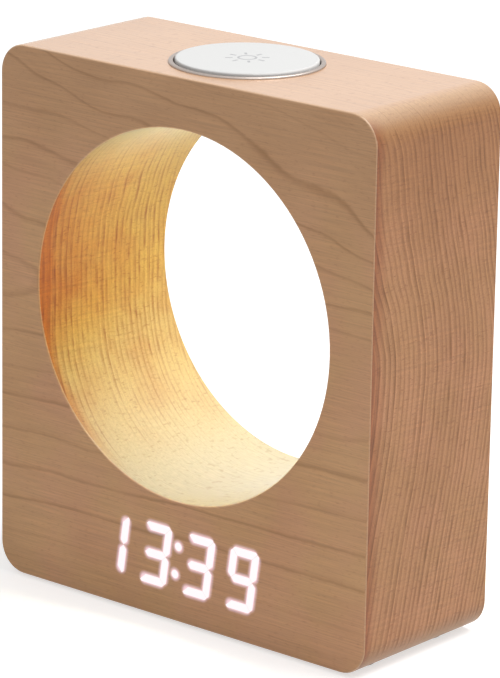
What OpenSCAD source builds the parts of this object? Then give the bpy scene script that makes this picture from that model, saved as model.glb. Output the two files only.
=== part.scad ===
/* [Case] */
// Diameter of the round opening through the case
bore_d = 102; // [98:1:110]
// Wood left on either side of the opening
side_wall = 14; // [12.5:0.5:20]
// Wood left above the opening
top_wall = 14; // [13.5:0.5:20]
// Height of the block under the opening
block_h = 34; // [33:0.5:44]
// Depth of the case from front to back
body_d = 52; // [49:0.5:64]
// Radius of the four outer corners
corner_r = 8.2; // [4:0.2:12]
// Rounding of the outer edges and of the mouths of the opening
edge_r = 0.6; // [0.3:0.1:1]
// Thickness of the wooden rear panel
panel_t = 4; // [3.6:0.2:6]
// Wood left under the electronics bay
bay_floor = 5; // [4:0.2:5.6]
// Wood left between the bay and the opening
bay_roof = 4.2; // [3:0.2:4.8]
// Room in the bay beyond both ends of the main board
bay_room = 6; // [5.5:0.5:8]
// Corner radius that the router bit leaves in the bay and the pocket
router_r = 2; // [1:0.25:3]

/* [Display] */
// Height of a digit
digit_h = 17.8; // [15:0.1:18.4]
// Width of a digit before it leans
digit_w = 10; // [8.5:0.1:11]
// Distance between the centres of two digits
digit_pitch = 15.3; // [14.5:0.1:16.5]
// Lean of the digits to the right, in degrees
digit_slant = 8; // [0:0.5:10]
// Width of a segment
segment_w = 2.5; // [2.2:0.1:2.9]
// Cut back at each end of a segment, which leaves the fine wall to the next one
segment_trim = 0.3; // [0.2:0.05:0.5]
// Cut across the outer corner of a segment, at each corner of a digit
segment_blunt = 0.4; // [0.2:0.1:0.8]
// Diameter of a dot of the colon
colon_d = 2.6; // [2.4:0.1:3]
// Height of the two dots above and below the middle
colon_rise = 4; // [3:0.1:5]
// Wood left in front of the display, thin enough for light to pass
skin_t = 0.8; // [0.6:0.1:1.5]
// Thickness of the diffusing film
film_t = 0.3; // [0.2:0.05:0.5]
// Depth of the light mask
mask_t = 9; // [6:0.5:11]
// Plastic left in the mask around the digits
mask_margin = 1.8; // [1.4:0.1:2]
// Board left beyond the mask at both ends, for the screws
screw_land = 9; // [8:0.5:10]
// Board left above and below the mask
board_lip = 0.6; // [0.3:0.1:0.8]

/* [Top button] */
// Outer diameter of the trim ring
ring_od = 41.8; // [39:0.2:44]
// Width of the ring's top face
ring_top_w = 1.35; // [1.2:0.05:1.8]
// Wall of the ring below its lip
ring_wall = 0.8; // [0.6:0.05:0.9]
// Height of the ring's lip
ring_lip_h = 2; // [1.6:0.1:2.2]
// Height of the ring above the wood
ring_proud = 0.6; // [0.4:0.1:1]
// Rounding of the ring's top edges
ring_round = 0.4; // [0.2:0.05:0.5]
// Gap round the cap
cap_gap = 0.35; // [0.25:0.05:0.5]
// Height of the cap above the ring
cap_proud = 0.7; // [0.6:0.1:1]
// Thickness of the cap's top
cap_t = 1.8; // [1.4:0.1:2]
// Wall of the cap's skirt
cap_wall = 1.4; // [1:0.1:2]
// Rounding of the cap's top edge
cap_round = 0.5; // [0.3:0.1:0.8]
// Thickness of the flange that keeps the cap under the ring's lip
cap_flange_t = 1; // [0.8:0.1:1.4]
// Diameter of the stem under the cap that meets the switch
cap_stem_d = 4.5; // [4:0.1:6]
// Travel of the cap
cap_travel = 0.5; // [0.3:0.05:0.6]
// Depth of the round recess in the top
recess_depth = 7.2; // [7:0.1:7.4]
// Thickness of the base plate under the switch board
base_t = 1.2; // [1:0.1:1.3]
// Rim of the base plate left outside the switch board
base_rim = 1; // [0.6:0.1:1.4]
// Wire of the return spring
spring_wire = 0.5; // [0.4:0.05:0.6]
// Mean diameter of the return spring
spring_d = 13.2; // [12:0.2:16]
// Turns of the return spring
spring_turns = 4; // [3:0.5:4.5]

/* [Lamp] */
// Angle of the opening's ceiling that the lens covers, in degrees
lens_angle = 40; // [36:1:42]
// Width of the lens from front to back
lens_w = 18; // [15:0.5:20]
// Thickness of the lens
lens_t = 1.6; // [1.2:0.1:2]
// Ledge that the lens is bonded to
lens_ledge = 1.5; // [1:0.1:2]
// Height of the lamp's cavity above the opening
cavity_h = 4; // [3.8:0.1:4.3]
// Light emitters in the lamp's row
emitter_count = 6; // [3:1:6]
// Length of an emitter
emitter_l = 2.8; // [2:0.1:3]
// Width of an emitter
emitter_w = 3.5; // [2.5:0.1:3.6]
// Distance between two emitters
emitter_step = 3.2; // [3.1:0.05:3.3]
// Room at the end of the lamp board where the lead comes in
lead_room = 6; // [5.5:0.1:6.2]

/* [Rear buttons] */
// Diameter of a rear button
rear_button_d = 6; // [5:0.2:7]
// Distance between two rear buttons
rear_button_pitch = 12; // [11:0.5:12.5]
// Distance of the first rear button from the middle
rear_button_x = 6; // [5:0.5:8]
// How far a rear button sits below the rear face
rear_button_sunk = 0.5; // [0.3:0.1:1]
// Thickness of a rear button's flange
rear_flange_t = 1; // [0.8:0.1:1.2]
// Reach of a rear button's flange beyond its shaft
rear_flange_reach = 1; // [0.8:0.1:1.2]
// Travel of a rear button
rear_travel = 0.4; // [0.25:0.05:0.5]

/* [Rear panel] */
// Distance of the panel screws from the outer edges
screw_inset = 9; // [8:0.5:10]
// Diameter of a vent hole
vent_d = 1.6; // [1.2:0.1:2]
// Distance between vent holes
vent_pitch = 3.2; // [2.6:0.1:3.6]
// Length of the spacers between rear panel and main board
spacer_l = 5.5; // [5.2:0.1:7]
// Outer diameter of a spacer
spacer_d = 5; // [4.4:0.1:5.4]
// Distance of the spacers from the board's ends
spacer_inset = 3.5; // [3:0.1:4]

/* [Power socket] */
// Width of the socket's shell
usb_w = 8.94; // [8.9:0.02:9]
// Height of the socket's shell
usb_h = 3.26; // [3.2:0.02:3.3]
// Wall of the shell
usb_wall = 0.3; // [0.25:0.05:0.35]
// How far the socket sits below the rear face
usb_sunk = 0.8; // [0.4:0.1:1.2]
// Length of the core that closes the socket's inner end
usb_core_l = 3.5; // [2.5:0.1:4]
// Width of the contact tongue
tongue_w = 6.7; // [6.5:0.05:6.8]
// Thickness of the contact tongue
tongue_t = 0.7; // [0.6:0.05:0.75]
// How far the tongue stays behind the mouth
tongue_short = 0.8; // [0.6:0.1:1.2]
// Distance of the socket from the middle
usb_x = 28; // [26:0.5:31]

/* [Wiring] */
// Wood left between the opening and the groove for the leads
groove_wall = 2.2; // [1.8:0.1:2.6]
// Width of the groove
groove_w = 4; // [3.9:0.1:4.6]
// Depth of the groove
groove_d = 5; // [4.6:0.1:6]
// Distance of the groove's straight part from the end of the main board
groove_side = 3.8; // [3.6:0.1:4.2]
// Diameter of a lead
lead_d = 1.8; // [1.4:0.1:1.8]
// Setback of a lead's corners where they are rounded
lead_bend = 2.5; // [2:0.1:3]
// Height of the flat cable's loop
ribbon_rise = 6; // [4:0.5:8]
// Width of the flat cable
ribbon_w = 10; // [6:0.5:11]
// Thickness of the flat cable
ribbon_t = 0.3; // [0.2:0.05:0.4]
// Distance of the flat cable from the middle
ribbon_x = 30; // [28.5:0.5:31]
// Width of a flat-cable socket
socket_w = 12; // [11.5:0.1:12.5]
// Height of a flat-cable socket
socket_h = 4; // [3:0.1:5]
// Depth of a flat-cable socket
socket_t = 3; // [2:0.1:4]
// Width of the socket of the two leads
lead_socket_w = 6; // [5:0.1:6.4]
// Height of the socket of the two leads
lead_socket_h = 5; // [4.4:0.1:6]
// Depth of the socket of the two leads
lead_socket_t = 4; // [3:0.1:5]
// Board left beyond the socket of the two leads
lead_socket_inset = 1; // [0.5:0.1:1.5]

/* [Electronics] */
// Thickness of the display board and the main board
board_t = 1.6; // [1:0.1:1.6]
// Thickness of the two small boards
small_board_t = 1; // [0.8:0.1:1.1]
// Width of the main board
main_board_w = 88; // [80:1:94]
// Height of the main board
main_board_h = 21; // [20:0.5:22]
// Side of a push switch
switch_w = 6; // [5:0.1:6.4]
// Height of a push switch
switch_h = 3.2; // [3:0.1:3.4]
// Diameter of a push switch's plunger
plunger_d = 3.5; // [2.8:0.1:3.6]
// Reach of the top switch's plunger above its body
plunger_out = 0.8; // [0.7:0.1:1]
// Length of a plunger inside its switch
plunger_in = 1.2; // [0.8:0.1:1.3]
// Room left under a plunger at the end of its travel
plunger_room = 0.3; // [0.2:0.05:0.4]
// Side of a display light emitter
led_w = 1.5; // [1.2:0.1:1.6]
// Height of a light emitter
led_h = 0.8; // [0.5:0.1:0.9]
// Diameter of the coin cell
cell_d = 20; // [16:0.5:20.5]
// Thickness of the coin cell
cell_t = 3.2; // [2:0.2:4]
// Wall of the coin cell holder
holder_wall = 1; // [0.8:0.1:1.2]
// Gap between the coin cell holder and the socket of the two leads
holder_gap = 4; // [2:0.5:6]
// Thickness of the spring clip over the cell
clip_t = 0.4; // [0.3:0.05:0.6]
// Width of the spring clip
clip_w = 5; // [3:0.5:8]
// Diameter of the buzzer
buzzer_d = 9; // [7:0.5:10]
// Height of the buzzer
buzzer_h = 4.6; // [3:0.1:4.8]
// Distance of the buzzer from the middle
buzzer_x = 7; // [5:0.5:8]
// Side of the climate sensor
sensor_w = 3; // [2:0.1:3.5]
// Height of the climate sensor
sensor_t = 1.2; // [0.8:0.1:2]
// Distance of the climate sensor from the middle
sensor_x = 17.5; // [16.5:0.5:19]
// Side of the controller chip
chip_w = 10; // [7:0.5:10]
// Height of the controller chip
chip_t = 1.6; // [1:0.1:2]
// Distance of the controller chip from the middle
chip_x = 7; // [5:0.5:8]
// Length of the clock crystal's can
crystal_l = 7; // [6:0.1:7.4]
// Diameter of the clock crystal's can
crystal_d = 2.4; // [2:0.1:3]
// Distance of the clock crystal from the middle
crystal_x = 18; // [17:0.5:19]

/* [Screws] */
// Diameter of a panel screw
panel_screw_d = 3; // [2.5:0.1:3.4]
// Diameter of a panel screw's head
panel_screw_head = 6; // [5.4:0.1:6.6]
// Length of a panel screw
panel_screw_l = 15; // [12:0.5:20]
// Width of a cross slot
cross_w = 0.8; // [0.6:0.1:1]
// Length of a cross slot
cross_l = 3.4; // [2.6:0.1:4]
// Depth of a cross slot
cross_t = 1.2; // [0.8:0.1:1.4]
// Diameter of a board screw
small_screw_d = 2; // [1.6:0.1:2.2]
// Diameter of a board screw's head
small_screw_head = 3.8; // [3.2:0.1:4]
// Height of a board screw's head
small_screw_head_h = 1.3; // [1:0.1:1.5]
// Length of a board screw in the wooden body
body_grip = 4; // [3:0.2:5]
// Length of a board screw in the rear panel
panel_grip = 2.8; // [2:0.1:3]
// Distance of the switch board's screws from its middle
switch_screw_y = 11; // [11:0.5:13]
// Diameter of a lamp board screw
lamp_screw_d = 1.6; // [1.2:0.1:1.7]
// Diameter of a lamp board screw's head
lamp_screw_head = 2.6; // [2.2:0.1:2.8]
// Height of a lamp board screw's head
lamp_screw_head_h = 0.6; // [0.4:0.1:0.8]
// Length of a lamp board screw in the wood
lamp_grip = 1.4; // [1:0.1:1.8]

/* [Feet] */
// Diameter of a foot pad
foot_d = 10; // [8:0.5:14]
// Thickness of a foot pad
foot_t = 1.5; // [1.2:0.1:2.5]
// Height of the pads below the wood
foot_proud = 0.8; // [0.5:0.1:1]
// Distance of the foot centres from the outer faces
foot_inset = 12; // [10:0.5:15]

/* [Fits] */
// Gap round a piece that is seated in the wood
seat_gap = 0.05; // [0.03:0.01:0.1]
// Gap round a piece that is dropped into a pocket
pocket_gap = 0.3; // [0.2:0.05:0.4]
// Gap round a sliding piece
slide_gap = 0.2; // [0.15:0.05:0.3]
// Gap round a switch plunger and a screw
pin_gap = 0.05; // [0.04:0.01:0.08]

/* [Hidden] */
$fn = 64;
// How far a cut runs past the face that it opens
overcut = 1;

body_w = bore_d + 2 * side_wall;
body_h = block_h + bore_d + top_wall;
base_z = foot_proud;
top_z = base_z + body_h;
front_y = -body_d / 2;
back_y = body_d / 2;
seam_y = back_y - panel_t;
bore_r = bore_d / 2;
bore_z = base_z + block_h + bore_r;
ceiling_z = bore_z + bore_r;

bay_w = main_board_w + 2 * bay_room;
bay_h = block_h - bay_floor - bay_roof;
bay_z = base_z + bay_floor + bay_h / 2;

lean = tan(digit_slant);
mask_w = 3 * digit_pitch + digit_w + digit_h * lean + 2 * mask_margin;
mask_h = digit_h + 2 * mask_margin;
film_y = front_y + skin_t;
mask_y = film_y + film_t;
shoulder_y = mask_y + mask_t;
display_board_w = mask_w + 2 * screw_land;
display_board_h = mask_h + 2 * board_lip;
display_screw_x = mask_w / 2 + screw_land / 2 + pocket_gap / 2;
display_screw_z = display_board_h / 4;
stroke_w = (digit_w - segment_w) / 2;
stroke_h = (digit_h - segment_w) / 2;

main_back_y = seam_y - spacer_l;
main_front_y = main_back_y - board_t;
spacer_x = main_board_w / 2 - spacer_inset;
spacer_z = main_board_h / 2 - spacer_d / 2;

ring_r = ring_od / 2;
ring_lip_r = ring_r - ring_top_w;
ring_in_r = ring_r - ring_wall;
ring_top_z = top_z + ring_proud;
lip_z = ring_top_z - ring_lip_h;
recess_z = top_z - recess_depth;
cap_r = ring_lip_r - cap_gap;
cap_flange_r = ring_in_r - slide_gap;
cap_top_z = ring_top_z + cap_proud;
cap_under_z = cap_top_z - cap_t;
cap_flange_z = lip_z - seat_gap;
base_plate_r = ring_in_r - slide_gap;
switch_board_r = base_plate_r - base_rim;
switch_board_z = recess_z + base_t;
switch_z = switch_board_z + small_board_t;
switch_top_z = switch_z + switch_h;

lens_half = lens_angle / 2;
lens_fit_angle = seat_gap / bore_r * 180 / PI;
cavity_l = 2 * (bore_r * sin(lens_half) - lens_ledge);
cavity_w = lens_w - 2 * lens_ledge;
cavity_z = ceiling_z + cavity_h;
cavity_cut = 2 * cavity_h;
lamp_board_w = cavity_w - 2 * pocket_gap;
lamp_board_x0 = -cavity_l / 2 + pocket_gap;
lamp_board_x1 = cavity_l / 2 - lead_room;
lamp_board_z = cavity_z - small_board_t;
emitter_x0 = -emitter_step * (emitter_count - 1) / 2;

groove_r = bore_r + groove_wall + groove_w / 2;
groove_x = main_board_w / 2 + groove_side;
groove_drop = acos(groove_x / groove_r);
groove_turn_d = groove_w / cos(groove_drop) + 2 * pocket_gap;
lead_hole_d = groove_w + 2 * pocket_gap;
groove_y = seam_y - groove_d;
lead_hole_x = cavity_l / 2 - groove_w / 2;
groove_end = acos(lead_hole_x / groove_r);
lead_hole_z = bore_z + groove_r * sin(groove_end);
riser_d = lead_d + 4 * pocket_gap;
riser_y = cavity_w / 2 + riser_d / 2 + pocket_gap;
lead_step = lead_d / 2 + pin_gap;
lead_socket_x = main_board_w / 2 - lead_socket_w - lead_socket_inset;
lead_socket_y = main_front_y - lead_socket_t / 2;

screw_x = body_w / 2 - screw_inset;
screw_z = [base_z + screw_inset, top_z - screw_inset];
panel_screw_cone = (panel_screw_head - panel_screw_d) / 2;
panel_screw_hole_r = panel_screw_d / 2 + pin_gap;
panel_screw_seat_r = panel_screw_head / 2 + pin_gap;

rear_flange_d = rear_button_d + 2 * rear_flange_reach;
rear_flange_y = seam_y - seat_gap - rear_flange_t;
rear_switch_y = main_back_y + switch_h;
REAR_BUTTONS_X = [for (i = [0:2]) rear_button_x + i * rear_button_pitch];
usb_mouth_y = back_y - usb_sunk;

holder_r = cell_d / 2 + pin_gap + holder_wall;
holder_x = lead_socket_x - holder_gap - holder_r;
cell_y = main_front_y - holder_wall;

// Steps of the flat cable's loop, of a lead's curves and of a turn of the spring
ribbon_steps = 24;
arc_steps = 18;
bend_steps = 4;
turn_steps = 16;
lead_sides = 8;
spring_sides = 6;

// The seven strokes of a digit: six clockwise from the top, then the middle
STROKES = [
    [[-stroke_w, stroke_h], [stroke_w, stroke_h]],
    [[stroke_w, stroke_h], [stroke_w, 0]],
    [[stroke_w, 0], [stroke_w, -stroke_h]],
    [[stroke_w, -stroke_h], [-stroke_w, -stroke_h]],
    [[-stroke_w, -stroke_h], [-stroke_w, 0]],
    [[-stroke_w, 0], [-stroke_w, stroke_h]],
    [[-stroke_w, 0], [stroke_w, 0]]
];
DIGITS_X = [for (i = [0:3]) (i - 1.5) * digit_pitch];
COLON = [for (s = [-1, 1]) leaned([0, s * colon_rise])];

// The middle of each segment and dot of the display
LED_PLACES = concat([for (x = DIGITS_X, s = STROKES) [x, 0] + leaned((s[0] + s[1]) / 2)], COLON);

function leaned(p) = [p[0] + p[1] * lean, p[1]];

// A drawing in the X and Z plane, drawn out from y0 to y1
module along_y(y0, y1) {
    translate([0, y1, 0]) rotate([90, 0, 0]) linear_extrude(y1 - y0) children();
}

// A profile of radius and Y, turned about a line along Y
module turned_y() {
    rotate([-90, 0, 0]) rotate_extrude() children();
}

// A profile of radius and -Y, turned about the middle of the opening between two angles
module round_opening(a0, a1) {
    translate([0, 0, bore_z]) rotate([90, 0, 0]) rotate([0, 0, a0])
        rotate_extrude(angle = a1 - a0) children();
}

// A rod along Y
module rod_y(d, y0, y1) {
    along_y(y0, y1) circle(d = d);
}

module rounded_rect(w, h, r) {
    square([w - 2 * r, h], center = true);
    square([w, h - 2 * r], center = true);
    for (sx = [-1, 1], sz = [-1, 1])
        translate([sx * (w / 2 - r), sz * (h / 2 - r)]) circle(r);
}

// A slot with half-round ends
module stadium(w, h) {
    square([w - h, h], center = true);
    for (s = [-1, 1])
        translate([s * (w - h) / 2, 0]) circle(d = h);
}

// A wall's section with its outer edge rounded at the start of its length
module soft_edge(r, length) {
    square([r - edge_r, length]);
    translate([0, edge_r]) square([r, length - edge_r]);
    translate([r - edge_r, edge_r]) circle(edge_r);
}

// A block of the case's outline whose edges are rounded at the start of its depth: an upright slab,
// a level slab and four round corners
module case_block(depth) {
    flat_w = body_w - 2 * corner_r;
    flat_h = body_h - 2 * corner_r;
    translate([0, 0, base_z + body_h / 2]) {
        for (s = [0, 1])
            mirror([0, 0, s]) translate([-flat_w / 2, 0, 0]) rotate([0, 90, 0])
                linear_extrude(flat_w) soft_edge(body_h / 2, depth);
        for (s = [0, 1])
            mirror([s, 0, 0]) translate([0, 0, -flat_h / 2])
                linear_extrude(flat_h) soft_edge(body_w / 2, depth);
        four_places(flat_w / 2, flat_h / 2) turned_y() soft_edge(corner_r, depth);
    }
}

// The round opening, with its mouth rounded at the start of its depth
module opening(depth) {
    translate([0, 0, bore_z]) turned_y() {
        translate([0, -overcut]) square([bore_r, depth + 2 * overcut]);
        difference() {
            translate([0, -overcut]) square([bore_r + edge_r, edge_r + overcut]);
            translate([bore_r + edge_r, edge_r]) circle(edge_r);
        }
    }
}

// The round recess in the top that the ring and the button stand in
module ring_recess() {
    translate([0, 0, recess_z]) cylinder(r = ring_r + seat_gap, h = recess_depth + overcut);
}

// Four places, mirrored left to right and up and down
module four_places(x, z) {
    for (sx = [-1, 1], sz = [-1, 1])
        translate([sx * x, 0, sz * z]) children();
}

// The corner places of the panel screws
module panel_screw_places() {
    for (sx = [-1, 1], z = screw_z)
        translate([sx * screw_x, 0, z]) children();
}

module foot_places() {
    for (sx = [-1, 1], sy = [-1, 1])
        translate([sx * (body_w / 2 - foot_inset), sy * (body_d / 2 - foot_inset), 0]) children();
}

// The two screws of the lamp board, at the roof of the cavity
module lamp_screw_places() {
    for (s = [-1, 1])
        translate([lamp_board_x0 + lamp_screw_head, s * (lamp_board_w / 2 - lamp_screw_head), cavity_z])
            children();
}

// A pan-head screw along Z, its head's underside at zero and its shank going down
module pan_screw(d, head, head_h, length) {
    translate([0, 0, -length]) cylinder(d = d, h = length + head_h / 2);
    difference() {
        cylinder(d = head, h = head_h);
        for (a = [0, 90])
            rotate([0, 0, a]) translate([0, 0, head_h]) cube([head * 2 / 3, d / 3, head_h], center = true);
    }
}

// A board screw along Y, its head towards +Y or -Y
module board_screw(head_way, y, length) {
    translate([0, y, 0]) rotate([-90 * head_way, 0, 0])
        pan_screw(small_screw_d, small_screw_head, small_screw_head_h, length);
}

// The end of a bar at a point of its stroke, from the outer edge to the inner edge: mitred and
// blunted at a corner of the digit, pointed at half height
function segment_end(p, way, inward) =
    let (r = segment_w / 2, corner = p[1] != 0,
         outer = corner ? segment_blunt - r : r,
         tip = corner ? segment_blunt / 2 - r : 0)
    [for (q = [[outer, -r], [tip, tip], [r, r]]) p + way * (segment_trim + q[0]) + inward * q[1]];

// A bar along a stroke of a digit
module segment(stroke) {
    way = unit(stroke[1] - stroke[0]);
    inward = [way[1], -way[0]];
    first = segment_end(stroke[0], way, inward);
    last = segment_end(stroke[1], -way, inward);
    polygon([for (p = concat(first, [for (i = [2:-1:0]) last[i]])) leaned(p)]);
}

// A push switch's body along Z, with the bore that its plunger slides in
module push_switch(travel) {
    bore_l = plunger_in + travel + plunger_room;
    difference() {
        translate([-switch_w / 2, -switch_w / 2, 0]) cube([switch_w, switch_w, switch_h]);
        translate([0, 0, switch_h - bore_l]) cylinder(d = plunger_d + 2 * pin_gap, h = bore_l + overcut);
    }
}

// A push switch's plunger along Z, the top of its switch at zero
module plunger(out) {
    translate([0, 0, -plunger_in]) cylinder(d = plunger_d, h = plunger_in + out);
}

// A round tube along a list of points, with a frame carried from ring to ring
function unit(v) = v / norm(v);
function heading(p, i) = unit(p[min(i + 1, len(p) - 1)] - p[max(i - 1, 0)]);
function square_to(v, t) = unit(v - t * (v * t));
function carried(p, i, v) =
    let (u = square_to(v, heading(p, i)))
    i == len(p) - 1 ? [u] : concat([u], carried(p, i + 1, u));

module tube(p, d, start, sides) {
    n = len(p);
    u = carried(p, 0, start);
    rings = [for (i = [0:n - 1])
        let (v = cross(heading(p, i), u[i]))
        for (j = [0:sides - 1])
            p[i] + d / 2 * (cos(360 * j / sides) * u[i] + sin(360 * j / sides) * v)];
    skin = [for (i = [0:n - 2], j = [0:sides - 1], half = [0, 1])
        let (k = (j + 1) % sides, a = i * sides, b = a + sides)
        half == 0 ? [a + j, b + j, b + k] : [a + j, b + k, a + k]];
    last = (n - 1) * sides;
    first_cap = [for (j = [1:sides - 2]) [0, j, j + 1]];
    last_cap = [for (j = [1:sides - 2]) [last, last + j + 1, last + j]];
    polyhedron(rings, concat(skin, first_cap, last_cap));
}

// A corner of a route turned into a short curve
function bend(a, b, c, setback) =
    let (p = b + unit(a - b) * setback, q = b + unit(c - b) * setback)
    [for (i = [0:bend_steps])
        let (t = i / bend_steps) p * pow(1 - t, 2) + b * 2 * t * (1 - t) + q * pow(t, 2)];

// A lead's way from its socket up the side and round the opening, then through the hole in the
// wood to a corner and its stop. The step parts the two leads in their socket and in the groove.
function lead_way(y, step, corner, stop) =
    let (
        r = groove_r - step,
        z = bay_z + step,
        start = [lead_socket_x + lead_socket_w, lead_socket_y, z],
        out = [r * cos(groove_drop), lead_socket_y, z],
        back = [out[0], y, z],
        arc = [for (i = [0:arc_steps])
            let (a = -groove_drop + (groove_end + groove_drop) * i / arc_steps)
            [r * cos(a), y, bore_z + r * sin(a)]],
        end = arc[arc_steps]
    )
    concat(
        [start],
        bend(start, out, back, lead_bend),
        bend(out, back, arc[0], lead_bend),
        bend(back, arc[0], arc[1], lead_bend),
        [for (i = [1:arc_steps - 1]) arc[i]],
        bend(arc[arc_steps - 1], end, corner, lead_d),
        bend(end, corner, stop, lead_d),
        [stop]
    );

// A place on a lead's way through the hole in the wood
function lead_hole(y, step) = [
    (groove_r - step) * cos(groove_end),
    y,
    bore_z + (groove_r - step) * sin(groove_end)
];

module wooden_body() {
    color("burlywood")
    difference() {
        translate([0, front_y, 0]) case_block(seam_y - front_y);
        translate([0, front_y, 0]) opening(seam_y - front_y);
        translate([0, 0, bay_z]) {
            along_y(shoulder_y, seam_y + overcut) rounded_rect(bay_w, bay_h, router_r);
            along_y(film_y, shoulder_y + overcut)
                rounded_rect(mask_w + 2 * pocket_gap, mask_h + 2 * pocket_gap, router_r);
            four_places(display_screw_x, display_screw_z)
                rod_y(small_screw_d + 2 * pin_gap, shoulder_y - body_grip - pin_gap, shoulder_y + overcut);
        }
        lead_groove();
        lamp_recess();
        ring_recess();
        for (s = [-1, 1])
            translate([0, s * switch_screw_y, recess_z - body_grip - pin_gap])
                cylinder(d = small_screw_d + 2 * pin_gap, h = body_grip + overcut);
        foot_places() translate([0, 0, -overcut]) cylinder(d = foot_d + 2 * seat_gap, h = foot_t + overcut);
        panel_screw_places()
            rod_y(2 * panel_screw_hole_r, back_y - panel_screw_l - pin_gap, seam_y + overcut);
    }
}

// The groove for the leads, up from the bay and round the opening, and the holes that go on from its end
module lead_groove() {
    along_y(groove_y, seam_y + overcut) translate([groove_x - groove_w / 2, bay_z])
        square([groove_w, bore_z - groove_r * sin(groove_drop) - bay_z]);
    round_opening(-groove_drop, groove_end)
        translate([groove_r - groove_w / 2, -seam_y - overcut]) square([groove_w, groove_d + overcut]);
    translate([groove_x, 0, bore_z - groove_r * sin(groove_drop)])
        rod_y(groove_turn_d, groove_y - pocket_gap, seam_y + overcut);
    translate([lead_hole_x, 0, lead_hole_z]) rod_y(lead_hole_d, 0, seam_y + overcut);
    translate([lead_hole_x, riser_y, lead_hole_z])
        cylinder(d = riser_d, h = recess_z - lead_hole_z + overcut);
}

// The lamp's cavity in the ceiling of the opening and the curved seat of its lens
module lamp_recess() {
    round_opening(90 - lens_half - lens_fit_angle, 90 + lens_half + lens_fit_angle)
        translate([bore_r - overcut, -lens_w / 2 - seat_gap])
            square([lens_t + overcut, lens_w + 2 * seat_gap]);
    translate([-cavity_l / 2, -cavity_w / 2, cavity_z - cavity_cut]) cube([cavity_l, cavity_w, cavity_cut]);
    lamp_screw_places() translate([0, 0, -overcut])
        cylinder(d = lamp_screw_d + 2 * pin_gap, h = lamp_grip + pin_gap + overcut);
}

module rear_panel() {
    color("burlywood")
    difference() {
        translate([0, back_y, 0]) mirror([0, 1, 0]) case_block(panel_t);
        translate([0, back_y, 0]) mirror([0, 1, 0]) opening(panel_t);
        ring_recess();
        panel_screw_places() {
            rod_y(2 * panel_screw_hole_r, seam_y - overcut, back_y + overcut);
            translate([0, back_y - panel_screw_cone - pin_gap, 0]) rotate([-90, 0, 0])
                cylinder(r1 = panel_screw_hole_r, r2 = panel_screw_seat_r, h = panel_screw_cone);
            rod_y(2 * panel_screw_seat_r, back_y - 2 * pin_gap, back_y + overcut);
        }
        translate([0, 0, bay_z]) {
            for (x = REAR_BUTTONS_X)
                translate([x, 0, 0]) rod_y(rear_button_d + 2 * slide_gap, seam_y - overcut, back_y + overcut);
            along_y(seam_y - overcut, back_y + overcut) translate([-usb_x, 0])
                stadium(usb_w + 2 * pocket_gap, usb_h + 2 * pocket_gap);
            translate([-buzzer_x, 0, 0]) vent();
            for (a = [0:60:300])
                translate([-buzzer_x + vent_pitch * cos(a), 0, vent_pitch * sin(a)]) vent();
            for (s = [-1:1])
                translate([-sensor_x, 0, s * vent_pitch]) vent();
            four_places(spacer_x, spacer_z)
                rod_y(small_screw_d + 2 * pin_gap, seam_y - overcut, seam_y + panel_grip + pin_gap);
        }
    }
}

module vent() {
    rod_y(vent_d, seam_y - overcut, back_y + overcut);
}

module panel_screws() {
    head_y = back_y - 2 * pin_gap;
    color("silver")
    panel_screw_places()
    difference() {
        union() {
            rod_y(panel_screw_d, back_y - panel_screw_l, head_y);
            translate([0, head_y - panel_screw_cone, 0]) rotate([-90, 0, 0])
                cylinder(d1 = panel_screw_d, d2 = panel_screw_head, h = panel_screw_cone);
        }
        for (a = [0, 90])
            along_y(head_y - cross_t, back_y + overcut) rotate(a) square([cross_l, cross_w], center = true);
    }
}

module foot_pads() {
    color("dimgray")
    foot_places() cylinder(d = foot_d, h = foot_t);
}

module trim_ring() {
    color("silver")
    rotate_extrude() {
        translate([ring_in_r, recess_z]) square([ring_wall, ring_top_z - ring_round - recess_z]);
        translate([ring_lip_r, lip_z]) square([ring_top_w, ring_lip_h - ring_round]);
        translate([ring_lip_r + ring_round, lip_z]) square([ring_top_w - 2 * ring_round, ring_lip_h]);
        for (r = [ring_lip_r + ring_round, ring_r - ring_round])
            translate([r, ring_top_z - ring_round]) circle(ring_round);
    }
}

module top_button_cap() {
    skirt_z = cap_flange_z - cap_flange_t;
    stem_z = switch_top_z + plunger_out;
    color("whitesmoke")
    rotate_extrude() {
        translate([0, cap_under_z]) square([cap_r, cap_t - cap_round]);
        translate([0, cap_under_z]) square([cap_r - cap_round, cap_t]);
        translate([cap_r - cap_round, cap_top_z - cap_round]) circle(cap_round);
        translate([cap_r - cap_wall, skirt_z]) square([cap_wall, cap_top_z - cap_round - skirt_z]);
        translate([cap_r - cap_wall, skirt_z]) square([cap_flange_r - cap_r + cap_wall, cap_flange_t]);
        translate([0, stem_z]) square([cap_stem_d / 2, cap_top_z - cap_round - stem_z]);
    }
}

module top_switch_plunger() {
    color("black")
    translate([0, 0, switch_top_z]) plunger(plunger_out);
}

module top_button_spring() {
    rise = cap_under_z - switch_z - spring_wire;
    steps = spring_turns * turn_steps;
    route = [for (i = [0:steps])
        let (a = 360 * i / turn_steps)
        [spring_d / 2 * cos(a), spring_d / 2 * sin(a), switch_z + spring_wire / 2 + rise * i / steps]];
    color("silver") tube(route, spring_wire, [1, 0, 0], spring_sides);
}

module top_switch() {
    color("dimgray")
    translate([0, 0, switch_z]) push_switch(cap_travel);
}

// The holes of the two screws that hold the switch board and the base plate
module switch_screw_holes() {
    for (s = [-1, 1])
        translate([0, s * switch_screw_y, recess_z - overcut])
            cylinder(d = small_screw_d + 2 * pin_gap, h = base_t + small_board_t + 2 * overcut);
}

module switch_board() {
    color("darkgreen")
    difference() {
        translate([0, 0, switch_board_z]) cylinder(r = switch_board_r, h = small_board_t);
        switch_screw_holes();
    }
}

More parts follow.
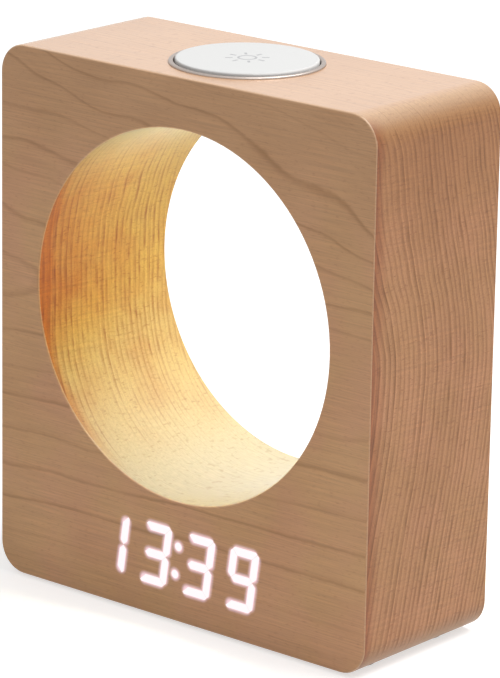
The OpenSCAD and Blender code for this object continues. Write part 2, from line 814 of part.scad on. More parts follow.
module button_base() {
    color("gainsboro")
    difference() {
        translate([0, 0, recess_z]) cylinder(r = base_plate_r, h = base_t);
        switch_screw_holes();
        translate([lead_hole_x, riser_y, recess_z - overcut]) cylinder(d = riser_d, h = base_t + 2 * overcut);
    }
}

module switch_board_screws() {
    color("silver")
    for (s = [-1, 1])
        translate([0, s * switch_screw_y, switch_z])
            pan_screw(small_screw_d, small_screw_head, small_screw_head_h, switch_z - recess_z + body_grip);
}

module lamp_lens() {
    color("lightyellow")
    round_opening(90 - lens_half, 90 + lens_half)
        translate([bore_r, -lens_w / 2]) square([lens_t, lens_w]);
}

module lamp_board() {
    color("white")
    difference() {
        translate([lamp_board_x0, -lamp_board_w / 2, lamp_board_z])
            cube([lamp_board_x1 - lamp_board_x0, lamp_board_w, small_board_t]);
        lamp_screw_places() translate([0, 0, -small_board_t - overcut])
            cylinder(d = lamp_screw_d + 2 * pin_gap, h = small_board_t + 2 * overcut);
    }
}

module lamp_emitters() {
    color("gold")
    for (i = [0:emitter_count - 1])
        translate([emitter_x0 + i * emitter_step - emitter_l / 2, -emitter_w / 2, lamp_board_z - led_h])
            cube([emitter_l, emitter_w, led_h]);
}

module lamp_board_screws() {
    color("silver")
    lamp_screw_places() translate([0, 0, -small_board_t]) mirror([0, 0, 1])
        pan_screw(lamp_screw_d, lamp_screw_head, lamp_screw_head_h, small_board_t + lamp_grip);
}

module display_film() {
    color("white")
    translate([0, 0, bay_z]) along_y(film_y, mask_y) rounded_rect(mask_w, mask_h, router_r);
}

module segment_mask() {
    color("gray")
    translate([0, 0, bay_z]) along_y(mask_y, shoulder_y)
    difference() {
        rounded_rect(mask_w, mask_h, router_r);
        for (x = DIGITS_X, s = STROKES)
            translate([x, 0]) segment(s);
        for (p = COLON)
            translate(p) circle(d = colon_d);
    }
}

module display_board() {
    color("darkgreen")
    translate([0, 0, bay_z])
    difference() {
        along_y(shoulder_y, shoulder_y + board_t) square([display_board_w, display_board_h], center = true);
        four_places(display_screw_x, display_screw_z)
            rod_y(small_screw_d + 2 * pin_gap, shoulder_y - overcut, shoulder_y + board_t + overcut);
    }
}

module display_emitters() {
    color("white")
    translate([0, 0, bay_z])
    for (p = LED_PLACES)
        along_y(shoulder_y - led_h, shoulder_y) translate(p) square(led_w, center = true);
}

module display_screws() {
    color("silver")
    translate([0, 0, bay_z]) four_places(display_screw_x, display_screw_z)
        board_screw(1, shoulder_y + board_t, board_t + body_grip);
}

module display_ribbon() {
    y0 = shoulder_y + board_t + socket_t;
    y1 = main_front_y - socket_t;
    middle = [for (i = [0:ribbon_steps])
        let (t = i / ribbon_steps) [y0 + (y1 - y0) * t, ribbon_rise * (1 - cos(360 * t)) / 2]];
    lift = [0, ribbon_t / 2];
    upper = [for (i = [0:ribbon_steps]) middle[i] + lift];
    lower = [for (i = [ribbon_steps:-1:0]) middle[i] - lift];
    color("ivory")
    translate([-ribbon_x - ribbon_w / 2, 0, bay_z]) rotate([90, 0, 90]) linear_extrude(ribbon_w)
        polygon(concat(upper, lower));
}

module ribbon_sockets() {
    color("black")
    translate([-ribbon_x, 0, bay_z])
    for (y = [shoulder_y + board_t, main_front_y - socket_t])
        along_y(y, y + socket_t) square([socket_w, socket_h], center = true);
}

module main_board() {
    color("darkgreen")
    translate([0, 0, bay_z])
    difference() {
        along_y(main_front_y, main_back_y) square([main_board_w, main_board_h], center = true);
        four_places(spacer_x, spacer_z)
            rod_y(small_screw_d + 2 * pin_gap, main_front_y - overcut, main_back_y + overcut);
    }
}

module board_spacers() {
    color("white")
    translate([0, 0, bay_z]) four_places(spacer_x, spacer_z)
    along_y(main_back_y, seam_y)
    difference() {
        circle(d = spacer_d);
        circle(d = small_screw_d + 2 * pin_gap);
    }
}

module main_board_screws() {
    color("silver")
    translate([0, 0, bay_z]) four_places(spacer_x, spacer_z)
        board_screw(-1, main_front_y, board_t + spacer_l + panel_grip);
}

module controller_chip() {
    color("black")
    translate([-chip_x, 0, bay_z]) along_y(main_front_y - chip_t, main_front_y) square(chip_w, center = true);
}

module clock_crystal() {
    color("silver")
    translate([-crystal_x, 0, bay_z]) along_y(main_front_y - crystal_d, main_front_y)
        stadium(crystal_l, crystal_d);
}

module buzzer() {
    color("black")
    translate([-buzzer_x, 0, bay_z])
    difference() {
        rod_y(buzzer_d, main_back_y, main_back_y + buzzer_h);
        rod_y(vent_d, main_back_y + buzzer_h / 2, main_back_y + buzzer_h + overcut);
    }
}

module climate_sensor() {
    color("white")
    translate([-sensor_x, 0, bay_z]) along_y(main_back_y, main_back_y + sensor_t)
        square(sensor_w, center = true);
}

module coin_cell_holder() {
    color("black")
    translate([holder_x, 0, bay_z])
    difference() {
        rod_y(2 * holder_r, cell_y - cell_t, main_front_y);
        rod_y(cell_d + 2 * pin_gap, cell_y - cell_t - overcut, cell_y);
    }
}

module coin_cell() {
    color("silver")
    translate([holder_x, 0, bay_z]) rod_y(cell_d, cell_y - cell_t, cell_y);
}

module coin_cell_clip() {
    color("gold")
    translate([holder_x, 0, bay_z]) along_y(cell_y - cell_t - clip_t, cell_y - cell_t)
        square([2 * holder_r, clip_w], center = true);
}

module usb_shell() {
    color("silver")
    translate([-usb_x, 0, bay_z]) along_y(main_back_y, usb_mouth_y)
    difference() {
        stadium(usb_w, usb_h);
        stadium(usb_w - 2 * usb_wall, usb_h - 2 * usb_wall);
    }
}

module usb_core() {
    inset = 2 * (usb_wall + pin_gap);
    color("black")
    translate([-usb_x, 0, bay_z]) {
        along_y(main_back_y, main_back_y + usb_core_l) stadium(usb_w - inset, usb_h - inset);
        along_y(main_back_y, usb_mouth_y - tongue_short) square([tongue_w, tongue_t], center = true);
    }
}

// A piece drawn along Z, laid along Y behind the main board at a button's place
module behind_board(i, y) {
    translate([REAR_BUTTONS_X[i], y, bay_z]) rotate([-90, 0, 0]) children();
}

module rear_switches() {
    color("dimgray")
    for (i = [0:2])
        behind_board(i, main_back_y) push_switch(rear_travel);
}

module rear_plunger(i) {
    color("black")
    behind_board(i, rear_switch_y) plunger(rear_flange_y - rear_switch_y);
}

module rear_button(i) {
    length = back_y - rear_button_sunk - rear_flange_y;
    color("dimgray")
    behind_board(i, rear_flange_y)
    rotate_extrude() {
        square([rear_flange_d / 2, rear_flange_t]);
        square([rear_button_d / 2, length - edge_r]);
        square([rear_button_d / 2 - edge_r, length]);
        translate([rear_button_d / 2 - edge_r, length - edge_r]) circle(edge_r);
    }
}

module set_button() {
    rear_button(0);
}

module up_button() {
    rear_button(1);
}

module down_button() {
    rear_button(2);
}

module set_switch_plunger() {
    rear_plunger(0);
}

module up_switch_plunger() {
    rear_plunger(1);
}

module down_switch_plunger() {
    rear_plunger(2);
}

module lead_socket() {
    color("white")
    translate([lead_socket_x, main_front_y - lead_socket_t, bay_z - lead_socket_h / 2])
        cube([lead_socket_w, lead_socket_t, lead_socket_h]);
}

module lamp_lead() {
    corner = lead_hole(lamp_board_w / 4, lead_step);
    stop = [lamp_board_x1 - lead_d, corner[1], lamp_board_z - lead_d / 2];
    color("firebrick")
        tube(lead_way(groove_y + groove_d / 4, lead_step, corner, stop), lead_d, [0, 0, 1], lead_sides);
}

module button_lead() {
    corner = lead_hole(riser_y, -lead_step);
    stop = [corner[0], riser_y, switch_board_z];
    color("black")
        tube(lead_way(groove_y + groove_d * 3 / 4, -lead_step, corner, stop), lead_d, [0, 0, 1], lead_sides);
}

wooden_body();
rear_panel();
panel_screws();
foot_pads();
trim_ring();
top_button_cap();
top_switch_plunger();
top_button_spring();
top_switch();
switch_board();
button_base();
switch_board_screws();
lamp_lens();
lamp_board();
lamp_emitters();
lamp_board_screws();
display_film();
segment_mask();
display_board();
display_emitters();
display_screws();
display_ribbon();
ribbon_sockets();
main_board();
board_spacers();
main_board_screws();
controller_chip();
clock_crystal();
buzzer();
climate_sensor();
coin_cell_holder();
coin_cell();
coin_cell_clip();
usb_shell();
usb_core();
rear_switches();
set_button();
up_button();
down_button();
set_switch_plunger();
up_switch_plunger();
down_switch_plunger();
lead_socket();
lamp_lead();
button_lead();
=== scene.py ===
# %% [markdown]
# A wooden clock lamp
#
# The object is a block of beech with a big round opening. A warm lamp in the ceiling of the
# opening lights the wood inside it, digits shine through the front, and a white press cap in a
# metal ring sits on top. The solid model already holds every shape, so this lesson is mostly
# about finishes and light: wood grain that runs through the whole block, light through wood, and
# a plain white studio. Everything is in metres, in the frame of the solid model.

# %% Load the solid model
import math
from types import SimpleNamespace

import bmesh
import bpy
from mathutils import Matrix, Vector


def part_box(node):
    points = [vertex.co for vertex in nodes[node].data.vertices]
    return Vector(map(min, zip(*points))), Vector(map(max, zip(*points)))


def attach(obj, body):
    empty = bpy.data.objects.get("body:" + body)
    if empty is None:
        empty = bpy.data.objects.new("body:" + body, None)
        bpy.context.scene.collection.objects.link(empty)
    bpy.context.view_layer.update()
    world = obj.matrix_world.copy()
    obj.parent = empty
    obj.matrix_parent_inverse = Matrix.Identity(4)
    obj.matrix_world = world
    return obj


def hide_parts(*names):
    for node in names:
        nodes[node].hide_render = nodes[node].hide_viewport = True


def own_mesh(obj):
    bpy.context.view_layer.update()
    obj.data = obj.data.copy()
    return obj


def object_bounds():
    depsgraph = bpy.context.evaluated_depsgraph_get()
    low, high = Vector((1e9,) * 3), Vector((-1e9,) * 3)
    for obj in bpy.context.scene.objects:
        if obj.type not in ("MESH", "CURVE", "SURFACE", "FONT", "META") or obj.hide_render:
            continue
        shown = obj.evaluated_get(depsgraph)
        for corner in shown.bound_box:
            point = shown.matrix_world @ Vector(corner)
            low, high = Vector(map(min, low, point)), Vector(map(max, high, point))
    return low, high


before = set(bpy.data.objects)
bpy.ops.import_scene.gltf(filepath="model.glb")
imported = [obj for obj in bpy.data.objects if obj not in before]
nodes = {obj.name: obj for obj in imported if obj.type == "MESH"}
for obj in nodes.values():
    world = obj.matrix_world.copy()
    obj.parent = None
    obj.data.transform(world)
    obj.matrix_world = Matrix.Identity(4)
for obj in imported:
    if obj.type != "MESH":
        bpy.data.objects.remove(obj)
cad_box = [list(corner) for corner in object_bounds()]
MM = 0.001
print("solid model:", len(nodes), "pieces, box in mm",
      [[round(v / MM, 2) for v in corner] for corner in cad_box])

# %% [markdown]
# The camera comes first, because every later choice is judged through it. The photograph was
# taken from the right and a little above, from about a metre away through a long lens. Its place
# could be found by eye, but fitting it to the corners of the case is more exact: the angles below
# are the result. A camera looks along its own -Z, so its matrix is made of right, up and back.

# %% Camera
AZIMUTH = math.radians(40.17)
ELEVATION = math.radians(16.28)
ROLL = math.radians(0.95)
CAMERA_AT = (0.69675, -0.82235, 0.38945)
FOCAL_PX, FRAME_PX = 4169.5, 678
SENSOR_MM = 36


def add_object(name, data):
    """An object in the scene, made from its data."""
    made = bpy.data.objects.new(name, data)
    bpy.context.scene.collection.objects.link(made)
    return made


back = Vector((math.sin(AZIMUTH) * math.cos(ELEVATION),
               -math.cos(AZIMUTH) * math.cos(ELEVATION), math.sin(ELEVATION)))
level = Vector((math.cos(AZIMUTH), math.sin(AZIMUTH), 0))
upright = back.cross(level)
right = math.cos(ROLL) * level + math.sin(ROLL) * upright
up = -math.sin(ROLL) * level + math.cos(ROLL) * upright

camera_data = bpy.data.cameras.new("photo_camera")
camera_data.sensor_fit = "VERTICAL"
camera_data.sensor_height = SENSOR_MM
camera_data.lens = FOCAL_PX * SENSOR_MM / FRAME_PX
camera = add_object("photo_camera", camera_data)
turned = Matrix((right, up, back)).transposed().to_4x4()
camera.matrix_world = Matrix.Translation(CAMERA_AT) @ turned
bpy.context.scene.camera = camera
print("lens in mm:", round(camera_data.lens, 1))

# %% [markdown]
# A few small tools serve every finish. Colours are written as the hex values that a screen shows,
# and shaders count in linear light, so one function converts them. Another adds a shader node:
# its settings are properties, and each input is either a value or a link. Inputs are listed in
# the order of the node's own sockets, or named in a dictionary. A Mix node has sockets for four
# kinds of data under the same names, so its colours are called by their numbers.

# %% Colour and node tools
MIX_A, MIX_B, MIX_RESULT = 6, 7, 2


def linear(hex_colour):
    """A hex colour as linear red, green, blue and full opacity."""
    parts = [int(hex_colour[i:i + 2], 16) / 255 for i in (1, 3, 5)]
    return [v / 12.92 if v <= 0.04045 else ((v + 0.055) / 1.055) ** 2.4 for v in parts] + [1.0]


def add_node(tree, kind, inputs=(), output=0, **settings):
    """Adds a node and gives back one of its outputs. An input is a socket to link or a value."""
    node = tree.nodes.new("ShaderNode" + kind)
    for name, value in settings.items():
        setattr(node, name, value)
    for name, value in inputs.items() if isinstance(inputs, dict) else enumerate(inputs):
        if isinstance(value, bpy.types.NodeSocket):
            tree.links.new(value, node.inputs[name])
        else:
            node.inputs[name].default_value = value
    return node.outputs[output] if node.outputs else None


def new_material(name):
    """An empty node material."""
    material = bpy.data.materials.new(name)
    material.use_nodes = True
    material.node_tree.nodes.clear()
    return material, material.node_tree


def dress(material, *names):
    """Puts a material on nodes of the solid model."""
    for name in names:
        slots = nodes[name].data.materials
        slots.clear()
        slots.append(material)


def per_mm(*sizes):
    """The scales of a pattern along X, Y and Z, from its real sizes in mm."""
    return [1 / size for size in sizes]


print("half grey on a screen is", round(linear("#808080")[0], 3), "in linear light")

# %% [markdown]
# The digits show a time, so their strokes are needed twice: as the bright shapes themselves, and
# as the source of the faint glow in the wood around them. The sizes are those of the light mask
# behind the wood. A digit has seven strokes, six of which this time needs, and a list says which
# are lit. A stroke is mitred at the corners of the digit and pointed at half height, like the
# slots of the mask. The wood blurs the light, so the bright core is a little narrower than a
# slot, its corners are blunter and its joints finer, and the glow takes up the rest.

# %% Lit strokes of the display
DIGIT_H, DIGIT_W, DIGIT_PITCH = 17.8, 10.0, 15.3
LEAN = math.tan(math.radians(8))
STROKE_W, STROKE_TRIM, STROKE_BLUNT, LIT_W = 2.5, 0.06, 1.2, 2.35
GLOW_CORNER_TRIM, GLOW_JOINT_TRIM = 1.1, 1.6
COLON_D, COLON_RISE = 2.35, 4.0
DISPLAY_Z = 18.2
FRONT_Y = cad_box[0][1] / MM

half_w, half_h = (DIGIT_W - STROKE_W) / 2, (DIGIT_H - STROKE_W) / 2
STROKES = {
    "top": ((-half_w, half_h), (half_w, half_h)),
    "upper_right": ((half_w, half_h), (half_w, 0)),
    "lower_right": ((half_w, 0), (half_w, -half_h)),
    "bottom": ((half_w, -half_h), (-half_w, -half_h)),
    "upper_left": ((-half_w, 0), (-half_w, half_h)),
    "middle": ((-half_w, 0), (half_w, 0)),
}
ONE = ["upper_right", "lower_right"]
THREE = ["top", "upper_right", "lower_right", "bottom", "middle"]
NINE = THREE + ["upper_left"]
TIME = [ONE, THREE, THREE, NINE]


def on_face(point, shift):
    """A point of a digit, leaned and moved to its place: mm on the front."""
    return Vector((point[0] + point[1] * LEAN + shift, point[1] + DISPLAY_Z))


def stroke_end(point, way, inward):
    """One end of a stroke, from its outer edge to its inner edge."""
    r, corner = LIT_W / 2, point[1] != 0
    outer = STROKE_BLUNT - r if corner else r
    tip = STROKE_BLUNT / 2 - r if corner else 0
    return [Vector(point) + way * (STROKE_TRIM + along) + inward * across
            for along, across in ((outer, -r), (tip, tip), (r, r))]


lit_digits, glow_lines = [], []
for place, digit in enumerate(TIME):
    shift = (place - (len(TIME) - 1) / 2) * DIGIT_PITCH
    lit_digits.append([])
    for name in digit:
        start, stop = (Vector(p) for p in STROKES[name])
        way = (stop - start).normalized()
        inward = Vector((way.y, -way.x))
        outline = stroke_end(start, way, inward) + stroke_end(stop, -way, inward)[::-1]
        lit_digits[-1].append([on_face(p, shift) for p in outline])
        ends = [p + w * (GLOW_CORNER_TRIM if p.y else GLOW_JOINT_TRIM)
                for p, w in ((start, way), (stop, -way))]
        glow_lines.append([on_face(p, shift) for p in ends])
colon_dots = [on_face((0, side * COLON_RISE), 0) for side in (1, -1)]
print("lit strokes:", len(glow_lines), "and", len(colon_dots), "dots")

# %% [markdown]
# Beech is a pale pinkish wood, and what a face of it shows depends on how it was cut. A face that
# looks to the left or right cuts across the fibres and is end grain. The wall of the opening is
# long grain at its top and bottom and turns into end grain at its sides. The finish could be a
# material for each face, but the edges would show, so one material asks of every point where it
# lies, which way it faces, and how far it is from the axis of the opening. Clouds of tone 40 mm
# wide go through the block, and also make the height wavy for effects that have no sharp border.

# %% How the block is cut
BORE_Z, BORE_R = 85.8, 51.0
BORE_WALL, WALL_TILT = (BORE_R + 0.6, BORE_R + 2), (0.3, 0.8)
# How far a face must turn to be end grain: outside, and in the opening
GRAIN_BEGINS, GRAIN_FULL = (0.88, 0.42), 0.99
END_TILT = (0.25, 0.95)
CLOUD_MM, CLOUD_SEED, WAVE_MM = 40, (38.7, 15.6, 48.9), 24.0


def cut_of_block(tree):
    """Where a point of the wood lies, in mm, and how the block is cut there, from 0 to 1."""
    place = add_node(tree, "TexCoord", output="Object")
    mm = add_node(tree, "VectorMath", {0: place, "Scale": 1 / MM}, operation="SCALE")
    x, y, z = add_node(tree, "SeparateXYZ", [mm]).node.outputs
    flat = add_node(tree, "VectorMath", [mm, (1, 0, 1)], operation="MULTIPLY")
    normal = add_node(tree, "NewGeometry", output="Normal")
    tilt = add_node(tree, "VectorMath", [normal], operation="ABSOLUTE")
    tilt_x, tilt_y, tilt_z = add_node(tree, "SeparateXYZ", [tilt]).node.outputs

    radius = add_node(tree, "VectorMath", [flat, (0, 0, BORE_Z)], "Value", operation="DISTANCE")
    wall = add_node(tree, "MapRange", [tilt_y, *WALL_TILT, 1.0, 0.0])
    inside = add_node(tree, "MapRange", [radius, *BORE_WALL, wall, 0.0])
    begins = add_node(tree, "MapRange", [inside, 0, 1, *GRAIN_BEGINS])
    grain = add_node(tree, "MapRange", [tilt_x, begins, GRAIN_FULL])
    end = add_node(tree, "MapRange", [tilt_x, *END_TILT], interpolation_type="SMOOTHSTEP")

    cloud = add_node(tree, "VectorMath", [mm, per_mm(*[CLOUD_MM] * 3), CLOUD_SEED],
                     operation="MULTIPLY_ADD")
    cloud = add_node(tree, "TexNoise", {"Vector": cloud, "Scale": 1.0, "Detail": 3.0})
    wavy = add_node(tree, "Math", [cloud, 0.5], operation="SUBTRACT")
    wavy = add_node(tree, "Math", [wavy, WAVE_MM, z], operation="MULTIPLY_ADD")
    return SimpleNamespace(mm=mm, x=x, y=y, z=z, flat=flat, wavy=wavy, cloud=cloud,
                           tilt_x=tilt_x, tilt_y=tilt_y, tilt_z=tilt_z,
                           inside=inside, grain=grain, end=end)


print("opening:", 2 * BORE_R, "mm across,", BORE_Z, "mm above the floor")

# %% [markdown]
# The block was cut so that its growth rings lie almost parallel to the front: the sides then show
# many fine upright lines, and the front only a few long wavy ones where the rings come to the
# surface at a low angle. A flat pattern on each face would break at the edges, so the pattern is
# one field in space, the depth inside the tree, and each face simply cuts through it. The rings
# lean back from the front above and below the middle of the opening. They are calm in the lower
# half, and in the upper half they wander and twist, as they do below a branch. They stand 2.4 mm
# apart at the front and 1.8 mm at the back, where the tree grew more slowly. A seed is a place in
# the noise, chosen so that the lines fall about as in the photograph.

# %% Depth in the tree
BOW_CENTRE, BOW_SLOPE, BOW_ROUND = 82.0, 0.24, 2.0
# Low and high in the block: how much the rings twist, and how far they wander, in mm
CALM_TO_WILD, TWIST, SWAY = (50.0, 105.0), (0.0, 0.05), (2.0, 8.0)
WANDER_MM, WANDER_SEED = (75, 60, 38), (48.9, 22.0, 8.0)
RIPPLES_PER_MM, RIPPLE_DEPTH = 0.3, 0.16
UNEVEN_PER_MM, UNEVEN_DEPTH = 0.2, 1.5
RINGS_PER_MM, RINGS_PER_MM2, FIRST_RING = 0.42, 0.0012, 1.0


def ring_number(tree, cut):
    """The number of growth rings between a point and the front face, with fractions."""
    rise = add_node(tree, "Math", [cut.z, BOW_CENTRE], operation="SUBTRACT")
    rise = add_node(tree, "Math", [rise, BOW_SLOPE], operation="MULTIPLY")
    square = add_node(tree, "Math", [rise, rise, BOW_ROUND ** 2], operation="MULTIPLY_ADD")
    bow = add_node(tree, "Math", [square], operation="SQRT")
    deep = add_node(tree, "Math", [cut.y, bow], operation="ADD")
    deep = add_node(tree, "Math", [deep, FRONT_Y - FIRST_RING], operation="SUBTRACT")

    twist = add_node(tree, "MapRange", [cut.z, *CALM_TO_WILD, *TWIST])
    deep = add_node(tree, "Math", [cut.x, twist, deep], operation="MULTIPLY_ADD")
    slow = add_node(tree, "VectorMath", [cut.mm, per_mm(*WANDER_MM), WANDER_SEED],
                    operation="MULTIPLY_ADD")
    wander = add_node(tree, "TexNoise", {"Vector": slow, "Scale": 1.0, "Detail": 2.0})
    wander = add_node(tree, "Math", [wander, 0.5], operation="SUBTRACT")
    sway = add_node(tree, "MapRange", [cut.z, *CALM_TO_WILD, *SWAY])
    deep = add_node(tree, "Math", [wander, sway, deep], operation="MULTIPLY_ADD")

    ripple = add_node(tree, "TexNoise", {"Vector": cut.mm, "Scale": RIPPLES_PER_MM, "Detail": 3.0})
    deep = add_node(tree, "Math", [ripple, RIPPLE_DEPTH, deep], operation="MULTIPLY_ADD")
    uneven = add_node(tree, "TexNoise", {"W": deep, "Scale": UNEVEN_PER_MM, "Detail": 1.0},
                      noise_dimensions="1D")
    deep = add_node(tree, "Math", [uneven, UNEVEN_DEPTH, deep], operation="MULTIPLY_ADD")
    rate = add_node(tree, "Math", [deep, RINGS_PER_MM2, RINGS_PER_MM], operation="MULTIPLY_ADD")
    return add_node(tree, "Math", [deep, rate], operation="MULTIPLY")


block_depth = cad_box[1][1] / MM - FRONT_Y
ring_count = block_depth * (RINGS_PER_MM + RINGS_PER_MM2 * block_depth)
print("rings from front to back:", round(ring_count))

# %% [markdown]
# Within a ring the wood darkens to a line of late wood and steps back to pale early wood. By
# chance some years give a strong line and some a weak one. Where the cut runs along the rings the
# lines are narrow, and most are faint. End grain drinks more oil, so there they are wide, strong
# and alike, with finer bands between them. Patches break the lines up, most of all in the
# opening, where the cutter has torn the fibres. A Color Ramp could draw the lines, but nothing
# can be linked to its stops. Every limit of a Map Range can have a link, so the same nodes serve
# both kinds of grain.

# %% Late wood
RING_SEED = 2832
# Pairs for long grain and for end grain: the weakest and the strongest line, where in a ring a
# line begins and is darkest, and how dark the fine bands are
LINE_WEAK, LINE_STRONG = (0.05, 0.4), (1.0, 0.9)
LINE_BEGINS, LINE_PEAK, LINE_MOST = (0.83, 0.1), (0.95, 0.82), 0.8
BANDS_PER_RING, BAND_RANGE, BAND_MOST = 4.0, (0.4, 0.75), (0.1, 0.32)
# Pairs for the outside and for the opening: how far a line fades in a patch, and how dark all
# lines are on long grain and on end grain
PATCH_MM, PATCH_RANGE, PATCH_LEAST = (12, 2, 6), (0.3, 0.7), (0.5, 0.2)
LONG_FORCE, END_FORCE = (0.75, 0.3), (1.2, 1.15)


def late_wood(tree, cut, ring):
    """How dark the wood is made by its rings, 0 to about 1."""
    phase = add_node(tree, "Math", [ring], operation="FRACT")
    number = add_node(tree, "Math", [ring], operation="FLOOR")
    number = add_node(tree, "Math", [number, RING_SEED], operation="ADD")
    chance = add_node(tree, "TexWhiteNoise", {"W": number}, noise_dimensions="1D")
    weak, strong, begins, peak, band_most = (
        add_node(tree, "MapRange", [cut.grain, 0, 1, *pair])
        for pair in (LINE_WEAK, LINE_STRONG, LINE_BEGINS, LINE_PEAK, BAND_MOST))
    strength = add_node(tree, "MapRange", [chance, 0, 1, weak, strong])
    line = add_node(tree, "MapRange", [phase, begins, peak, 0.0, LINE_MOST],
                    interpolation_type="SMOOTHSTEP")
    step = add_node(tree, "MapRange", [phase, peak, 1.0, 1.0, 0.0])
    for factor in (step, strength):
        line = add_node(tree, "Math", [line, factor], operation="MULTIPLY")

    band = add_node(tree, "TexNoise", {"W": ring, "Scale": BANDS_PER_RING, "Detail": 2.0},
                    noise_dimensions="1D")
    band = add_node(tree, "MapRange", [band, *BAND_RANGE, 0.0, band_most])
    dark = add_node(tree, "Math", [line, band], operation="ADD")

    patch = add_node(tree, "VectorMath", [cut.mm, per_mm(*PATCH_MM)], operation="MULTIPLY")
    patch = add_node(tree, "TexNoise", {"Vector": patch, "Scale": 1.0, "Detail": 2.0})
    least, long_force, end_force = (
        add_node(tree, "MapRange", [cut.inside, 0, 1, *pair])
        for pair in (PATCH_LEAST, LONG_FORCE, END_FORCE))
    patch = add_node(tree, "MapRange", [patch, *PATCH_RANGE, least, 1.0])
    force = add_node(tree, "MapRange", [cut.grain, 0, 1, long_force, end_force])
    for factor in (patch, force):
        dark = add_node(tree, "Math", [dark, factor], operation="MULTIPLY")
    return dark


print("share of a ring in which a line darkens, on long and end grain:",
      [round(peak - begins, 2) for begins, peak in zip(LINE_BEGINS, LINE_PEAK)])

# %% [markdown]
# Fibres run from left to right, and rays, the small dashes that give beech its look, cross them.
# Pictures of wood could show them, but they would have to be fitted at every edge, so both are
# noise that is stretched one way. Real fibres are some hundredths of a millimetre thick and
# wouldn't show, so they are drawn in bundles of 0.4 mm. On the sides and inside the opening, the
# cutter has left fine level marks 0.9 mm apart, in places and never all over.

# %% Fibres, rays and cutter marks
FIBRE_MM, FIBRE_RANGE, FIBRE_SHADE = (20, 0.4, 0.4), (0.25, 0.75), (0.86, 1.12)
RAY_MM, RAY_RANGE, RAY_MOST = (2.0, 2.0, 0.45), (0.58, 0.74), (0.3, 0.5)
MARK_MM, MARK_SLOPE, MARK_RANGE, MARK_SHADE = 0.9, 0.06, (0.3, 0.7), (0.94, 1.06)
MARKED_MM, MARKED_RANGE = 30, (0.4, 0.6)


def fibres_and_rays(tree, cut):
    """The pattern of the fibres, and how dark the rays are."""
    along = add_node(tree, "VectorMath", [cut.mm, per_mm(*FIBRE_MM)], operation="MULTIPLY")
    fibre = add_node(tree, "TexNoise", {"Vector": along, "Scale": 1.0, "Detail": 3.0})
    across = add_node(tree, "VectorMath", [cut.mm, per_mm(*RAY_MM)], operation="MULTIPLY")
    ray = add_node(tree, "TexNoise", {"Vector": across, "Scale": 1.0, "Detail": 2.0})
    most = add_node(tree, "MapRange", [cut.grain, 0, 1, *RAY_MOST])
    return fibre, add_node(tree, "MapRange", [ray, *RAY_RANGE, 0.0, most])


def streaks(tree, cut, fibre):
    """How much lighter or darker the fibres and the cutter marks make the wood."""
    streak = add_node(tree, "MapRange", [fibre, *FIBRE_RANGE, *FIBRE_SHADE])
    marked = add_node(tree, "TexNoise", {"Vector": cut.mm, "Scale": 1 / MARKED_MM, "Detail": 1.0})
    marked = add_node(tree, "MapRange", [marked, *MARKED_RANGE])
    marked = add_node(tree, "Math", [marked, cut.end], operation="MULTIPLY")
    height = add_node(tree, "Math", [cut.y, MARK_SLOPE, cut.z], operation="MULTIPLY_ADD")
    mark = add_node(tree, "TexNoise", {"W": height, "Scale": 1 / MARK_MM, "Detail": 2.0},
                    noise_dimensions="1D")
    dark, light = (add_node(tree, "MapRange", [marked, 0, 1, 1.0, shade]) for shade in MARK_SHADE)
    mark = add_node(tree, "MapRange", [mark, *MARK_RANGE, dark, light])
    return add_node(tree, "Math", [streak, mark], operation="MULTIPLY")


print("fibres", FIBRE_MM[1], "mm, rays", RAY_MM[2], "mm, cutter marks", MARK_MM, "mm")

# %% [markdown]
# Boring the opening scorched its wall in patches. Over the front of the upper half and along the
# front rim of the opening, the wall is darkened and browned as painted shade. Outside, the end
# grain next to the front is darker along its rim. All of these darken the wood and make it
# browner, and they are strongest where the grain stands on end. They could be painted on the
# points of the mesh, but the wall has few points between its rims, so the amount is worked out
# from height, depth and noise.

# %% Scorching, painted shade and the outer rim
SCORCH_MM, SCORCH_RANGE, SCORCH_MOST = 13, (0.42, 0.66), 0.28
# The painted shade over the upper half: where it starts, where it fades again and how much, and
# how far back it goes
WALL_SHADE_RISE, WALL_SHADE_FADE = (BORE_Z - 20, BORE_Z), (BORE_Z + 10, BORE_Z + 20)
WALL_SHADE_MOST, WALL_SHADE_BACK = (0.62, 0.4), (FRONT_Y + 8, FRONT_Y + 36)
# The rim, painted shade in the opening and darker wood outside: how far back it goes by chance,
# and how dark it is, which fades high in the opening
RIM_FULL, RIM_BACK = FRONT_Y + 0.6, (FRONT_Y + 3, FRONT_Y + 6)
# How dark the rim is outside, on the end grain next to the front
RIM_CHANCE, RIM_OUTSIDE = (0.4, 0.6), 0.75
LIP_FADE, LIP_MOST = (BORE_Z + 22, BORE_Z + 34), (0.85, 0.15)


